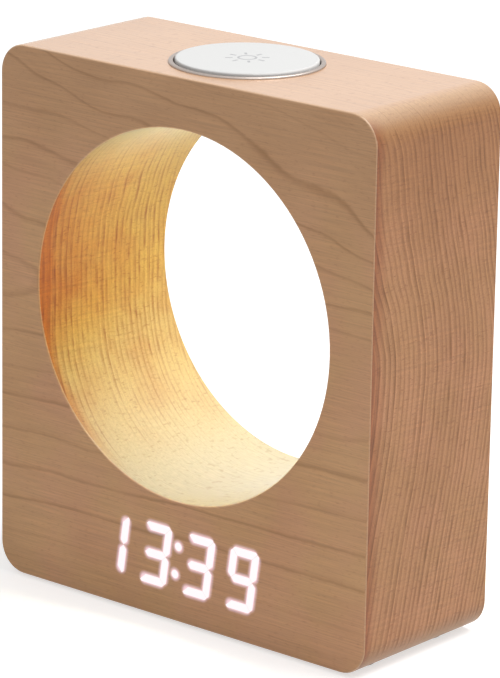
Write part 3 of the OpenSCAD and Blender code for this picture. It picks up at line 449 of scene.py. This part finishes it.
def scorched(tree, cut):
    """How much a point of the wood is scorched, darkened by painted shade, or darker on the outer
    rim.
    """
    patch = add_node(tree, "TexNoise", {"Vector": cut.mm, "Scale": 1 / SCORCH_MM, "Detail": 4.0})
    patch = add_node(tree, "MapRange", [patch, *SCORCH_RANGE, 0.0, SCORCH_MOST])
    # Painted shade over the front of the upper half of the opening
    wall_shade = add_node(tree, "MapRange", [cut.wavy, *WALL_SHADE_FADE, *WALL_SHADE_MOST])
    wall_shade = add_node(tree, "MapRange", [cut.wavy, *WALL_SHADE_RISE, 0.0, wall_shade])
    wall_shade = add_node(tree, "MapRange", [cut.y, *WALL_SHADE_BACK, wall_shade, 0.0])
    patch = add_node(tree, "Math", [patch, wall_shade], operation="ADD")
    patch = add_node(tree, "Math", [patch, cut.inside], operation="MULTIPLY")
    reach = add_node(tree, "MapRange", [cut.cloud, *RIM_CHANCE, *RIM_BACK])
    lip = add_node(tree, "MapRange", [cut.z, *LIP_FADE, *LIP_MOST])
    most = add_node(tree, "MapRange", [cut.inside, 0, 1, RIM_OUTSIDE, lip])
    rim = add_node(tree, "MapRange", [cut.y, RIM_FULL, reach, most, 0.0])
    burnt = add_node(tree, "Math", [rim, patch], operation="ADD")
    return add_node(tree, "Math", [burnt, cut.end], operation="MULTIPLY")


print("rim:", [round(deep - FRONT_Y, 1) for deep in RIM_BACK], "mm deep")

# %% [markdown]
# Over the pattern lies a tint, which differs by face. The wood is tan with pinker areas. The
# sides are darker and redder from the oil. High up, the front and the sides are darker as
# painted shade, and the sides yellower too. The opening is bare and yellower, a yellow that
# partly paints in the lamp's warm light, and low down its walls turn paler as painted light
# where the lamp's beam falls. Each could have its own set of wood colours, but a tint that is
# multiplied on keeps the pattern and fades softly round the edges.

# %% Tints of the faces
# Tan, pink, high up (painted shade), in the opening (partly painted lamp warmth), low in the
# opening (painted lamp light)
FACE_TINTS = [linear(c) for c in ("#FDFFF8", "#FFFBFF", "#F7F9F9", "#E2FFFF", "#DEF5F0")]
END_TINTS = [linear(c) for c in ("#E1D5C3", "#E8D9D1", "#D3BFA4", "#F0E997", "#ECF1C4")]
HUE_MM, HUE_RANGE = 22, (0.4, 0.6)
# Heights over which the front and the sides turn darker towards the top as painted shade
SHADED_HIGH_UP = (108.0, 142.0)
# Where, low in the opening, the tint turns to its painted lamp light
LAMP_POOL_FADE, LAMP_POOL_SLOPE = (BORE_Z - 28, BORE_Z - 7), -0.2


def face_tint(tree, cut):
    """The tint of the wood by face, height and chance."""
    hue = add_node(tree, "TexNoise", {"Vector": cut.mm, "Scale": 1 / HUE_MM, "Detail": 2.0})
    hue = add_node(tree, "MapRange", [hue, *HUE_RANGE])
    # Painted shade: the wood is darker towards the top of the block
    high = add_node(tree, "MapRange", [cut.z, *SHADED_HIGH_UP])
    # Painted light: low in the opening the tint turns paler where the lamp's beam falls
    sunk = add_node(tree, "Math", [cut.y, LAMP_POOL_SLOPE, cut.wavy], operation="MULTIPLY_ADD")
    lamp_pool = add_node(tree, "MapRange", [sunk, *LAMP_POOL_FADE, 1.0, 0.0],
                      interpolation_type="SMOOTHSTEP")
    both = []
    # In the opening the tint is yellower: bare wood, and partly the lamp's warm light painted in
    for tint, pink, upper, bored, pale in (FACE_TINTS, END_TINTS):
        bored = add_node(tree, "Mix", {0: lamp_pool, MIX_A: bored, MIX_B: pale}, MIX_RESULT,
                         data_type="RGBA")
        for amount, other in ((hue, pink), (high, upper), (cut.inside, bored)):
            tint = add_node(tree, "Mix", {0: amount, MIX_A: tint, MIX_B: other}, MIX_RESULT,
                            data_type="RGBA")
        both.append(tint)
    return add_node(tree, "Mix", {0: cut.end, MIX_A: both[0], MIX_B: both[1]}, MIX_RESULT,
                    data_type="RGBA")


print("tints:", len(FACE_TINTS), "for faces and", len(END_TINTS), "for end grain")

# %% [markdown]
# The colour is built up in layers: the tones of the wood, the bare wood of the opening, paler
# towards its ceiling as painted light, late wood, rays, the tint, scorching with painted shade,
# and last the edges. The edges of the front and of the opening are made pale as a painted
# highlight, and the round edges of the block a little greyer as a painted sheen. Inside the
# opening the late wood is orange brown, as scorched wood is. Mixed shaders could do this too,
# but a chain of mixed colours is quicker to render and easy to put in another order.

# %% Colour of the beech
BEECH_EARLY, BEECH_LATE, LATE_INSIDE = linear("#CF9C71"), linear("#8A591F"), linear("#8F4A0C")
BEECH_PALE, BEECH_DEEP, BARE_AND_LIT_TINT = linear("#D8A87D"), linear("#C39266"), linear("#E6D2B4")
# Painted highlight for the front edges, and a painted sheen that makes the round edges greyer
BEECH_RAY, HIGHLIGHT_TINT = linear("#97613B"), linear("#EBC9A4")
# Orange brown of scorching, and of the painted shade in the opening
SCORCH_AND_SHADE_TINT, OUTER_RIM_TINT, SHEEN_TINT = linear("#E6A350"), linear("#D29E62"), linear("#EBF8FF")
TONE_RANGE, EARLY_SHARE = (0.3, 0.7), 0.5
# Bare wood in the opening: half of it everywhere, and more towards the ceiling as painted light
LIT_CEILING_RISE, BARE_AND_LIT_SHARE = (BORE_Z + 25, BORE_Z + 48), (0.5, 0.95)
HIGHLIGHT_RISE, HIGHLIGHT_FALL, HIGHLIGHT_MOST = (0.15, 0.5), (0.6, 0.95), 0.55
SHEEN_EDGE_RANGE = (0.0, 0.5)


def edges(tree, cut):
    """How much painted highlight lies on a front edge, and painted sheen on a round edge of the
    block.
    """
    rising = add_node(tree, "MapRange", [cut.tilt_y, *HIGHLIGHT_RISE, 0.0, HIGHLIGHT_MOST])
    falling = add_node(tree, "MapRange", [cut.tilt_y, *HIGHLIGHT_FALL, 1.0, 0.0])
    edge_highlight = add_node(tree, "Math", [rising, falling], operation="MULTIPLY")
    # Painted sheen: the round edges between the sides and the top are made greyer
    sanded = add_node(tree, "Math", [cut.tilt_x, cut.tilt_z], operation="MULTIPLY")
    sanded = add_node(tree, "MapRange", [sanded, *SHEEN_EDGE_RANGE])
    return edge_highlight, add_node(tree, "MapRange", [cut.inside, 0, 1, sanded, 0.0])


def beech_colour(tree, cut, rays):
    """The colour of the wood, without the streaks of its fibres."""
    late = late_wood(tree, cut, ring_number(tree, cut))
    # Bare wood inside, and painted light that grows towards the ceiling of the opening
    bare_and_lit = add_node(tree, "MapRange", [cut.z, *LIT_CEILING_RISE, *BARE_AND_LIT_SHARE])
    bare_and_lit = add_node(tree, "Math", [cut.inside, bare_and_lit], operation="MULTIPLY")
    edge_highlight, sanded = edges(tree, cut)
    lines, burnt = (
        add_node(tree, "Mix", {0: cut.inside, MIX_A: outer, MIX_B: inner}, MIX_RESULT,
                 data_type="RGBA")
        for outer, inner in ((BEECH_LATE, LATE_INSIDE), (OUTER_RIM_TINT, SCORCH_AND_SHADE_TINT)))
    tone = add_node(tree, "MapRange", [cut.cloud, *TONE_RANGE])
    colour = add_node(tree, "Mix", {0: tone, MIX_A: BEECH_DEEP, MIX_B: BEECH_PALE}, MIX_RESULT,
                      data_type="RGBA")
    for amount, paint, way in (
            (EARLY_SHARE, BEECH_EARLY, "MIX"), (bare_and_lit, BARE_AND_LIT_TINT, "MIX"), (late, lines, "MIX"),
            (rays, BEECH_RAY, "MIX"), (1.0, face_tint(tree, cut), "MULTIPLY"),
            (scorched(tree, cut), burnt, "MULTIPLY"), (sanded, SHEEN_TINT, "MULTIPLY"),
            (edge_highlight, HIGHLIGHT_TINT, "MIX")):
        colour = add_node(tree, "Mix", {0: amount, MIX_A: colour, MIX_B: paint}, MIX_RESULT,
                          data_type="RGBA", blend_type=way)
    return colour


print("early and late wood differ by", round(BEECH_EARLY[0] - BEECH_LATE[0], 2), "in linear red")

# %% [markdown]
# Light from the digits also spreads sideways in the thin wood in front of them. Scattering under
# the surface could carry it, but that is slow and grainy, so here the distance of a point from
# the nearest lit stroke decides how much light comes through.

# %% Glow round the digits
GLOW_FULL, GLOW_END, GLOW_FALL, GLOW_STRENGTH = 1.1, 2.35, 1.4, 0.57
GLOW_SKIN = (FRONT_Y + 0.1, FRONT_Y + 0.3)


def digit_glow(tree, cut):
    """The strength of the glow, from the distance to the lit strokes in mm."""
    gaps = []
    for start, stop in glow_lines:
        run = stop - start
        run3 = (run.x, 0, run.y)
        offset = add_node(tree, "VectorMath", [cut.flat, (start.x, 0, start.y)],
                          operation="SUBTRACT")
        share = add_node(tree, "VectorMath", [offset, run3], "Value", operation="DOT_PRODUCT")
        share = add_node(tree, "Math", [share, run.length_squared], operation="DIVIDE",
                         use_clamp=True)
        foot = add_node(tree, "VectorMath", {0: run3, "Scale": share}, operation="SCALE")
        gaps.append(add_node(tree, "VectorMath", [offset, foot], "Value", operation="DISTANCE"))
    for dot in colon_dots:
        gaps.append(add_node(tree, "VectorMath", [cut.flat, (dot.x, 0, dot.y)], "Value",
                             operation="DISTANCE"))
    near = gaps[0]
    for gap in gaps[1:]:
        near = add_node(tree, "Math", [near, gap], operation="MINIMUM")
    glow = add_node(tree, "MapRange", [near, GLOW_FULL, GLOW_END, 1.0, 0.0])
    glow = add_node(tree, "Math", [glow, GLOW_FALL], operation="POWER")
    skin = add_node(tree, "MapRange", [cut.y, *GLOW_SKIN, GLOW_STRENGTH, 0.0])
    return add_node(tree, "Math", [glow, skin], operation="MULTIPLY")


print("the glow ends", GLOW_END, "mm from the middle of a stroke")

# %% [markdown]
# The shader brings these together. Sanded beech is satin, and its rays are a little sunken. A
# thin coat of oil shines at a low angle, most on the top, where it is wiped, and least on end
# grain, which drinks it. A second glossy shader could stand for the oil, but the Principled
# shader has a coat of its own.

# %% Oiled beech
BEECH_GLOSS, BEECH_IOR = (0.42, 0.58), 1.5
OIL_WIPED, OIL_ON_END, OIL_GLOSS, OIL_IOR = (0.05, 1.0), 0.03, 0.25, 1.55
RAY_SUNK, RELIEF, RELIEF_MM = -0.8, 0.35, 0.05
GLOW_COLOUR = linear("#F8E0FF")


def oiled_beech():
    """Beech, sanded and oiled: satin, with rings, fibres and rays."""
    material, tree = new_material("beech_sanded_and_oiled")
    cut = cut_of_block(tree)
    fibre, rays = fibres_and_rays(tree, cut)
    colour = add_node(tree, "VectorMath", {0: beech_colour(tree, cut, rays),
                                           "Scale": streaks(tree, cut, fibre)}, operation="SCALE")
    gloss = add_node(tree, "MapRange", [fibre, 0, 1, *BEECH_GLOSS])
    wiped = add_node(tree, "MapRange", [cut.tilt_z, 0, 1, *OIL_WIPED])
    oil = add_node(tree, "MapRange", [cut.end, 0, 1, wiped, OIL_ON_END])
    relief = add_node(tree, "Math", [rays, RAY_SUNK, fibre], operation="MULTIPLY_ADD")
    bump = add_node(tree, "Bump", {"Height": relief, "Strength": RELIEF,
                                   "Distance": RELIEF_MM * MM})
    wood = add_node(tree, "BsdfPrincipled", {
        "Base Color": colour, "Roughness": gloss, "IOR": BEECH_IOR, "Normal": bump,
        "Coat Weight": oil, "Coat Roughness": OIL_GLOSS, "Coat IOR": OIL_IOR,
        "Emission Color": GLOW_COLOUR, "Emission Strength": digit_glow(tree, cut)})
    add_node(tree, "OutputMaterial", {"Surface": wood})
    return material


beech = oiled_beech()
dress(beech, "wooden_body", "rear_panel")
print("beech nodes:", len(beech.node_tree.nodes))

# %% [markdown]
# Most other pieces are moulded, plated or etched, and differ in colour, gloss and the size of
# their surface grain. A single colour would look flat, so one function makes them all with a fine
# noise of a real size, which varies the colour, the gloss and the relief a little, as a mould or
# a plating bath does. The grain of a blasted mould is finer than a pixel, so it is drawn at a few
# tenths of a millimetre to show at all. The cap, its ring, the feet and the metal come first.

# %% Plain finishes
GLOSS_SPREAD, GRAIN_BUMP = 0.06, 0.3


def plain_finish(name, colour, roughness, grain_mm, relief_mm, shade, metallic=0.0, **extra):
    """A finish with a grain of a real size. Extra values go to the shader as they are."""
    material, tree = new_material(name)
    place = add_node(tree, "TexCoord", output="Object")
    grain = add_node(tree, "TexNoise", {"Vector": place, "Scale": 1 / (grain_mm * MM),
                                        "Detail": 3.0})
    base = linear(colour)
    low = [v * (1 - shade) for v in base[:3]] + [1.0]
    high = [min(v * (1 + shade), 1.0) for v in base[:3]] + [1.0]
    mixed = add_node(tree, "Mix", {0: grain, MIX_A: low, MIX_B: high}, MIX_RESULT,
                     data_type="RGBA")
    gloss = add_node(tree, "MapRange", [grain, 0, 1, roughness - GLOSS_SPREAD,
                                        roughness + GLOSS_SPREAD])
    bump = add_node(tree, "Bump", {"Height": grain, "Strength": GRAIN_BUMP,
                                   "Distance": relief_mm * MM})
    surface = add_node(tree, "BsdfPrincipled", {
        "Base Color": mixed, "Roughness": gloss, "Metallic": metallic, "Normal": bump, **extra})
    add_node(tree, "OutputMaterial", {"Surface": surface})
    return material


# White ABS from a fine-blasted mould: an even satin
dress(plain_finish("abs_white_satin", "#CFCFCE", roughness=0.62, grain_mm=0.35, relief_mm=0.01,
                   shade=0.015), "top_button_cap")
# Turned aluminium, anodised in its own colour: soft reflections
dress(plain_finish("aluminium_turned_anodised", "#B4A9A2", roughness=0.42, grain_mm=0.4,
                   relief_mm=0.004, shade=0.05, metallic=1.0), "trim_ring")
# Silicone rubber, cast: dull and dark
dress(plain_finish("silicone_rubber_cast", "#2B2B2C", roughness=0.7, grain_mm=0.3, relief_mm=0.02,
                   shade=0.15), "foot_pads")
# Steel with a zinc plating: bright with a faint cloudiness
zinc = plain_finish("steel_zinc_plated", "#B9BABB", roughness=0.3, grain_mm=1.2, relief_mm=0.004,
                    shade=0.1, metallic=1.0)
dress(zinc, "panel_screws", "switch_board_screws", "lamp_board_screws", "display_screws",
      "main_board_screws", "top_button_spring", "usb_shell", "coin_cell", "coin_cell_clip",
      "clock_crystal")
print("first finishes: cap, ring, feet and", zinc.name)

# %% [markdown]
# The other pieces are plastics, circuit boards and wires. Most of them are seen only through a
# hole or when the case is taken apart. One dark plastic for all could do for a picture, but the
# part is used again elsewhere, so each gets the finish it is really made with.

# %% Plastics, boards and wires
# Black polyamide, moulded with glass fibre: a dry, slightly mottled black
dress(plain_finish("polyamide_black_moulded", "#1C1C1E", roughness=0.5, grain_mm=0.5,
                   relief_mm=0.02, shade=0.25),
      "top_switch", "rear_switches", "top_switch_plunger", "set_switch_plunger",
      "up_switch_plunger", "down_switch_plunger", "controller_chip", "buzzer", "coin_cell_holder",
      "usb_core", "ribbon_sockets")
# Dark grey ABS with a spark-eroded skin, for the rear buttons: a soft matt
dress(plain_finish("abs_dark_grey_eroded", "#3B3836", roughness=0.48, grain_mm=0.3,
                   relief_mm=0.03, shade=0.12), "set_button", "up_button", "down_button")
# Natural polyamide, moulded: milky white
dress(plain_finish("polyamide_natural_moulded", "#E4E2DA", roughness=0.45, grain_mm=0.6,
                   relief_mm=0.01, shade=0.04),
      "button_base", "board_spacers", "lead_socket", "climate_sensor")
# Glass laminate under a green or white solder mask: glossy, with the weave just showing
dress(plain_finish("glass_laminate_green_mask", "#1E6B3E", roughness=0.25, grain_mm=1.1,
                   relief_mm=0.02, shade=0.18), "switch_board", "display_board", "main_board")
dress(plain_finish("glass_laminate_white_mask", "#EDEBE4", roughness=0.3, grain_mm=1.1,
                   relief_mm=0.02, shade=0.04), "lamp_board")
# Light emitters cast in silicone: yellow where it holds a phosphor, and otherwise glassy white
dress(plain_finish("silicone_phosphor_yellow", "#E8B93A", roughness=0.35, grain_mm=0.4,
                   relief_mm=0.01, shade=0.08), "lamp_emitters")
dress(plain_finish("silicone_clear_white", "#F1F1EE", roughness=0.3, grain_mm=0.4,
                   relief_mm=0.01, shade=0.04), "display_emitters")
# Polyester film, etched to scatter light: an even matt white, and the dull grey mask behind it
dress(plain_finish("polyester_film_diffusing", "#EEEEEC", roughness=0.55, grain_mm=0.2,
                   relief_mm=0.01, shade=0.03), "display_film")
dress(plain_finish("abs_grey_moulded", "#8D8D8D", roughness=0.5, grain_mm=0.4, relief_mm=0.02,
                   shade=0.06), "segment_mask")
# Extruded PVC round a flat cable and two leads: soft, with a dim shine
dress(plain_finish("pvc_flat_cable", "#E2E0D6", roughness=0.5, grain_mm=0.5, relief_mm=0.02,
                   shade=0.05), "display_ribbon")
dress(plain_finish("pvc_red_insulation", "#B3302A", roughness=0.45, grain_mm=0.5, relief_mm=0.02,
                   shade=0.08), "lamp_lead")
dress(plain_finish("pvc_black_insulation", "#202022", roughness=0.45, grain_mm=0.5,
                   relief_mm=0.02, shade=0.2), "button_lead")
print("finishes on the solid pieces:",
      len({finish.name for piece in nodes.values() for finish in piece.data.materials}))

# %% [markdown]
# A coil spring under the cap pushes it up again. The solid spring can't get shorter, so the cap
# would cut into it when it is pressed. A coil of round wire, drawn along the same helix, takes its
# place.

# %% Return spring
WIRE_R, TURNS, TURN_STEPS, WIRE_SIDES = 0.25, 4, 40, 10
CAP_TRAVEL, SEAT_GAP = 0.5, 0.01


def mesh_object(name, mesh, material):
    """An object from a finished mesh, with its faces turned outward."""
    bmesh.ops.recalc_face_normals(mesh, faces=mesh.faces)
    data = bpy.data.meshes.new(name)
    mesh.to_mesh(data)
    mesh.free()
    data.materials.append(material)
    return add_object(name, data)


low, high = (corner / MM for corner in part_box("top_button_spring"))
coil_r = (high.x - low.x) / 2 - WIRE_R
rise = high.z - low.z - 2 * (WIRE_R + SEAT_GAP)
pitch = rise / (TURNS * 2 * math.pi * coil_r)
mesh = bmesh.new()
hoops = []
for step in range(TURNS * TURN_STEPS + 1):
    turn = 2 * math.pi * step / TURN_STEPS
    outward = Vector((math.cos(turn), math.sin(turn), 0))
    along = Vector((-math.sin(turn), math.cos(turn), pitch)).normalized()
    across = along.cross(outward)
    height = low.z + WIRE_R + SEAT_GAP + rise * step / (TURNS * TURN_STEPS)
    centre = outward * coil_r + Vector((0, 0, height))
    angles = [2 * math.pi * side / WIRE_SIDES for side in range(WIRE_SIDES)]
    hoops.append([
        mesh.verts.new((centre + WIRE_R * (math.cos(a) * outward + math.sin(a) * across)) * MM)
        for a in angles])
for hoop, after in zip(hoops, hoops[1:]):
    for i in range(WIRE_SIDES):
        j = (i + 1) % WIRE_SIDES
        mesh.faces.new((hoop[i], hoop[j], after[j], after[i]))
mesh.faces.new(hoops[0])
mesh.faces.new(hoops[-1])
coil = mesh_object("return_spring", mesh, zinc)
coil.data.shade_smooth()
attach(coil, "case")
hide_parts("top_button_spring")
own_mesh(coil)
print("return spring:", round(high.z - low.z, 2), "mm high,", len(coil.data.polygons), "faces")

# %% [markdown]
# The lamp is an opal acrylic lens, bent to the curve of the opening. A lamp object could light the
# opening, but then the lens itself would look dark from below. Making the lens glow does both: it
# is seen as a bright warm strip, and its light falls on the wood all round. Some light goes
# straight through the opal without being scattered, so a small lamp with a narrow beam just under
# the lens adds the pale pool at the bottom of the opening.

# %% Lit lens
LAMP_STRENGTH, LAMP_COLOUR = 24.0, linear("#FFEE7C")
BEAM_POWER, BEAM_COLOUR = 0.0125, linear("#CDD2FF")[:3]
BEAM_W, BEAM_D, BEAM_SPREAD, BEAM_GAP = 30, 14, 75, 0.5

# Opal acrylic, cast: milky, and glowing evenly all over
opal = plain_finish("acrylic_opal_lit", "#F6EBD2", roughness=0.4, grain_mm=0.5, relief_mm=0.005,
                    shade=0.03, **{"Emission Color": LAMP_COLOUR,
                                   "Emission Strength": LAMP_STRENGTH})
dress(opal, "lamp_lens")

beam_data = bpy.data.lights.new("lens_beam", "AREA")
beam_data.shape = "RECTANGLE"
beam_data.size, beam_data.size_y = BEAM_W * MM, BEAM_D * MM
beam_data.spread = math.radians(BEAM_SPREAD)
beam_data.energy = BEAM_POWER
beam_data.color = BEAM_COLOUR
beam = add_object("lens_beam", beam_data)
beam.location = (0, 0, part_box("lamp_lens")[0].z - BEAM_GAP * MM)
print("lens glow", LAMP_STRENGTH, "and a beam from z =", round(beam.location.z / MM, 1), "mm")

# %% [markdown]
# The lit strokes are seen as flat white shapes on the wood. They could be painted in the wood's
# own material, but real shapes stay crisp at any size and in any export. Each one is a thin plate
# that stands two hundredths of a millimetre proud.

# %% Bright strokes and dots
PROUD = 0.02 * MM
CIRCLE_SIDES = 32
LIT_STRENGTH, LIT_COLOUR = 0.97, linear("#FFF6F9")


def plate(name, outlines, to_space, material, body):
    """Flat closed plates over outlines of 2-D points, which to_space puts at a height."""
    mesh = bmesh.new()
    for outline in outlines:
        under, over = ([mesh.verts.new(to_space(p, height)) for p in outline]
                       for height in (-PROUD, PROUD))
        mesh.faces.new(under[::-1])
        mesh.faces.new(over)
        for i in range(len(outline)):
            j = (i + 1) % len(outline)
            mesh.faces.new((under[i], under[j], over[j], over[i]))
    piece = mesh_object(name, mesh, material)
    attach(piece, body)
    print(name, len(outlines), "plates")


def circle(centre, radius):
    """A ring of points."""
    turns = [2 * math.pi * i / CIRCLE_SIDES for i in range(CIRCLE_SIDES)]
    return [Vector(centre) + radius * Vector((math.cos(a), math.sin(a))) for a in turns]


def on_front(point, height):
    """A point in mm on the front, at a height in m above the wood."""
    return Vector((point.x * MM, FRONT_Y * MM - height, point.y * MM))


# Thin beech with light behind it: almost white, a little pink from the wood
lit_beech = plain_finish(
    "light_through_beech", "#6A4A40", roughness=0.5, grain_mm=0.8, relief_mm=0.005, shade=0.02,
    **{"Emission Color": LIT_COLOUR, "Emission Strength": LIT_STRENGTH})
for place, outlines in enumerate(lit_digits):
    plate("lit_digit_%d" % (place + 1), outlines, on_front, lit_beech, "case")
plate("lit_colon", [circle(dot, COLON_D / 2) for dot in colon_dots], on_front, lit_beech,
      "case")

# %% [markdown]
# The press cap carries a faint printed sign for brightness: a small ring with rays. Print is a
# layer of ink a hundredth of a millimetre thick, so it is made as a plate too, in pale grey.

# %% Printed sign on the cap
CAP_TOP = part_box("top_button_cap")[1].z
RING_IN, RING_OUT = 2.1, 2.7
RAYS, RAY_IN, RAY_OUT, RAY_W = 8, 3.9, 5.9, 0.7


def on_cap(point, height):
    """A point in mm on the cap's top, at a height in m above it."""
    return Vector((point.x * MM, point.y * MM, CAP_TOP + height))


def band(inner, outer):
    """A flat ring: the quads between two circles."""
    return [[p, q, s, r] for p, q, s, r in
            zip(inner, outer, outer[1:] + outer[:1], inner[1:] + inner[:1])]


# Ink, pad printed: thin, flat and pale
ink_grey = plain_finish("pad_print_pale_grey", "#A9A9AB", roughness=0.5, grain_mm=0.2,
                        relief_mm=0.002, shade=0.04)
sign = band(circle((0, 0), RING_IN), circle((0, 0), RING_OUT))
for i in range(RAYS):
    turn = 2 * math.pi * i / RAYS
    way = Vector((math.cos(turn), math.sin(turn)))
    side = Vector((-way.y, way.x)) * RAY_W / 2
    sign.append([way * RAY_IN - side, way * RAY_OUT - side,
                 way * RAY_OUT + side, way * RAY_IN + side])
plate("brightness_sign", sign, on_cap, ink_grey, "top_button")

# %% [markdown]
# The three buttons at the back need signs as well. The photograph doesn't show that side, so they
# get the plainest ones: a ring to set, and a triangle up or down. A laser burns them into the wood
# above each button, and here they are thin plates again, in the brown of burnt beech.

# %% Burnt signs at the back
BACK_Y = cad_box[1][1]
SIGN_R, SIGN_LINE, SIGN_GAP = 1.4, 0.5, 2.6
UP_SIGN, DOWN_SIGN = ((-1, -0.8), (1, -0.8), (0, 0.9)), ((-1, 0.8), (0, -0.9), (1, 0.8))


def on_back(point, height):
    """A point in mm on the back, at a height in m above the wood."""
    return Vector((point.x * MM, BACK_Y + height, point.y * MM))


def above(name):
    """The place of a sign above a rear button, in mm."""
    low, high = (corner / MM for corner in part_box(name))
    return Vector(((low.x + high.x) / 2, high.z + SIGN_GAP))


# Beech, burnt by a laser: a dry dark brown
burnt_beech = plain_finish("beech_laser_burnt", "#4E311F", roughness=0.7, grain_mm=0.4,
                           relief_mm=0.02, shade=0.25)
set_place = above("set_button")
set_sign = band(circle(set_place, SIGN_R - SIGN_LINE), circle(set_place, SIGN_R))
up_sign = [above("up_button") + Vector(p) * SIGN_R for p in UP_SIGN]
down_sign = [above("down_button") + Vector(p) * SIGN_R for p in DOWN_SIGN]
for name, outlines in (("set_sign", set_sign), ("up_sign", [up_sign]), ("down_sign", [down_sign])):
    plate(name, outlines, on_back, burnt_beech, "case")

# %% [markdown]
# The studio is white. A white background could come from strong lamps, but those would bleach the
# object, so the camera alone sees a white sky, while the object is lit by a plain grey one.
# Reflections see the white as well.

# %% Sky
AMBIENT = 0.5
WHITE = linear("#FFFFFF")


def background_rays(tree):
    """1 for rays that see the background: from the camera, or by reflection or through glass."""
    path = add_node(tree, "LightPath").node.outputs
    seen = add_node(tree, "Math", [path["Is Camera Ray"], path["Is Glossy Ray"]],
                    operation="MAXIMUM")
    return add_node(tree, "Math", [seen, path["Is Transmission Ray"]], operation="MAXIMUM")


bpy.context.scene.view_settings.view_transform = "Standard"
world = bpy.data.worlds.new("white_studio")
bpy.context.scene.world = world
world.use_nodes = True
sky = world.node_tree
sky.nodes.clear()
soft = add_node(sky, "Background", {"Color": WHITE, "Strength": AMBIENT})
white = add_node(sky, "Background", {"Color": WHITE, "Strength": 1.0})
both = add_node(sky, "MixShader", [background_rays(sky), soft, white])
add_node(sky, "OutputWorld", {"Surface": both})
print("sky: white to look at,", AMBIENT, "as light")

# %% [markdown]
# The floor is a large pale sheet that catches the shadow. Lit like the object it would be grey,
# so it gives a little light of its own, which only those same rays see.

# %% Floor
FLOOR_SIZE, FLOOR_LIFT = 6.0, 0.6
PULP_MM, PULP_DARK, PULP_LIGHT = 2.5, linear("#CCCCCC"), linear("#D0D0D0")

# Paper, pressed from pulp: matt, with a mottle too faint to see as a pattern
paper, tree = new_material("paper_white_sheet")
place = add_node(tree, "TexCoord", output="Object")
pulp = add_node(tree, "TexNoise", {"Vector": place, "Scale": 1 / (PULP_MM * MM), "Detail": 2.0})
tint = add_node(tree, "Mix", {0: pulp, MIX_A: PULP_DARK, MIX_B: PULP_LIGHT}, MIX_RESULT,
                data_type="RGBA")
sheet = add_node(tree, "BsdfDiffuse", {"Color": tint})
lift = add_node(tree, "Emission", {"Color": WHITE, "Strength": FLOOR_LIFT})
none = add_node(tree, "Emission", {"Strength": 0.0})
seen = add_node(tree, "MixShader", [background_rays(tree), none, lift])
whole = add_node(tree, "AddShader", [sheet, seen])
add_node(tree, "OutputMaterial", {"Surface": whole})

floor_mesh = bpy.data.meshes.new("floor")
h = FLOOR_SIZE / 2
floor_mesh.from_pydata([(-h, -h, 0), (h, -h, 0), (h, h, 0), (-h, h, 0)], [], [(0, 1, 2, 3)])
floor_mesh.materials.append(paper)
floor = add_object("floor", floor_mesh)
print("floor:", FLOOR_SIZE, "m wide")

# %% [markdown]
# One big soft box hangs above, a little behind and to the right. It makes the top the brightest
# face, the right side next and the front the darkest, as in the photograph. A sun lamp could do
# that too, but the shadow under the object would be hard.

# %% Soft box
BOX_AT, BOX_AIM = Vector((0.45, 0.3, 1.1)), Vector((0, 0, 0.08))
BOX_SIZE, BOX_POWER = 0.8, 13.4

box_data = bpy.data.lights.new("soft_box_above", "AREA")
box_data.shape = "SQUARE"
box_data.size = BOX_SIZE
box_data.energy = BOX_POWER
soft_box = add_object("soft_box_above", box_data)
soft_box.location = BOX_AT
soft_box.rotation_euler = (BOX_AIM - BOX_AT).to_track_quat("-Z", "Y").to_euler()
print("soft box:", BOX_SIZE, "m wide,", round((BOX_AT - BOX_AIM).length, 2), "m away")
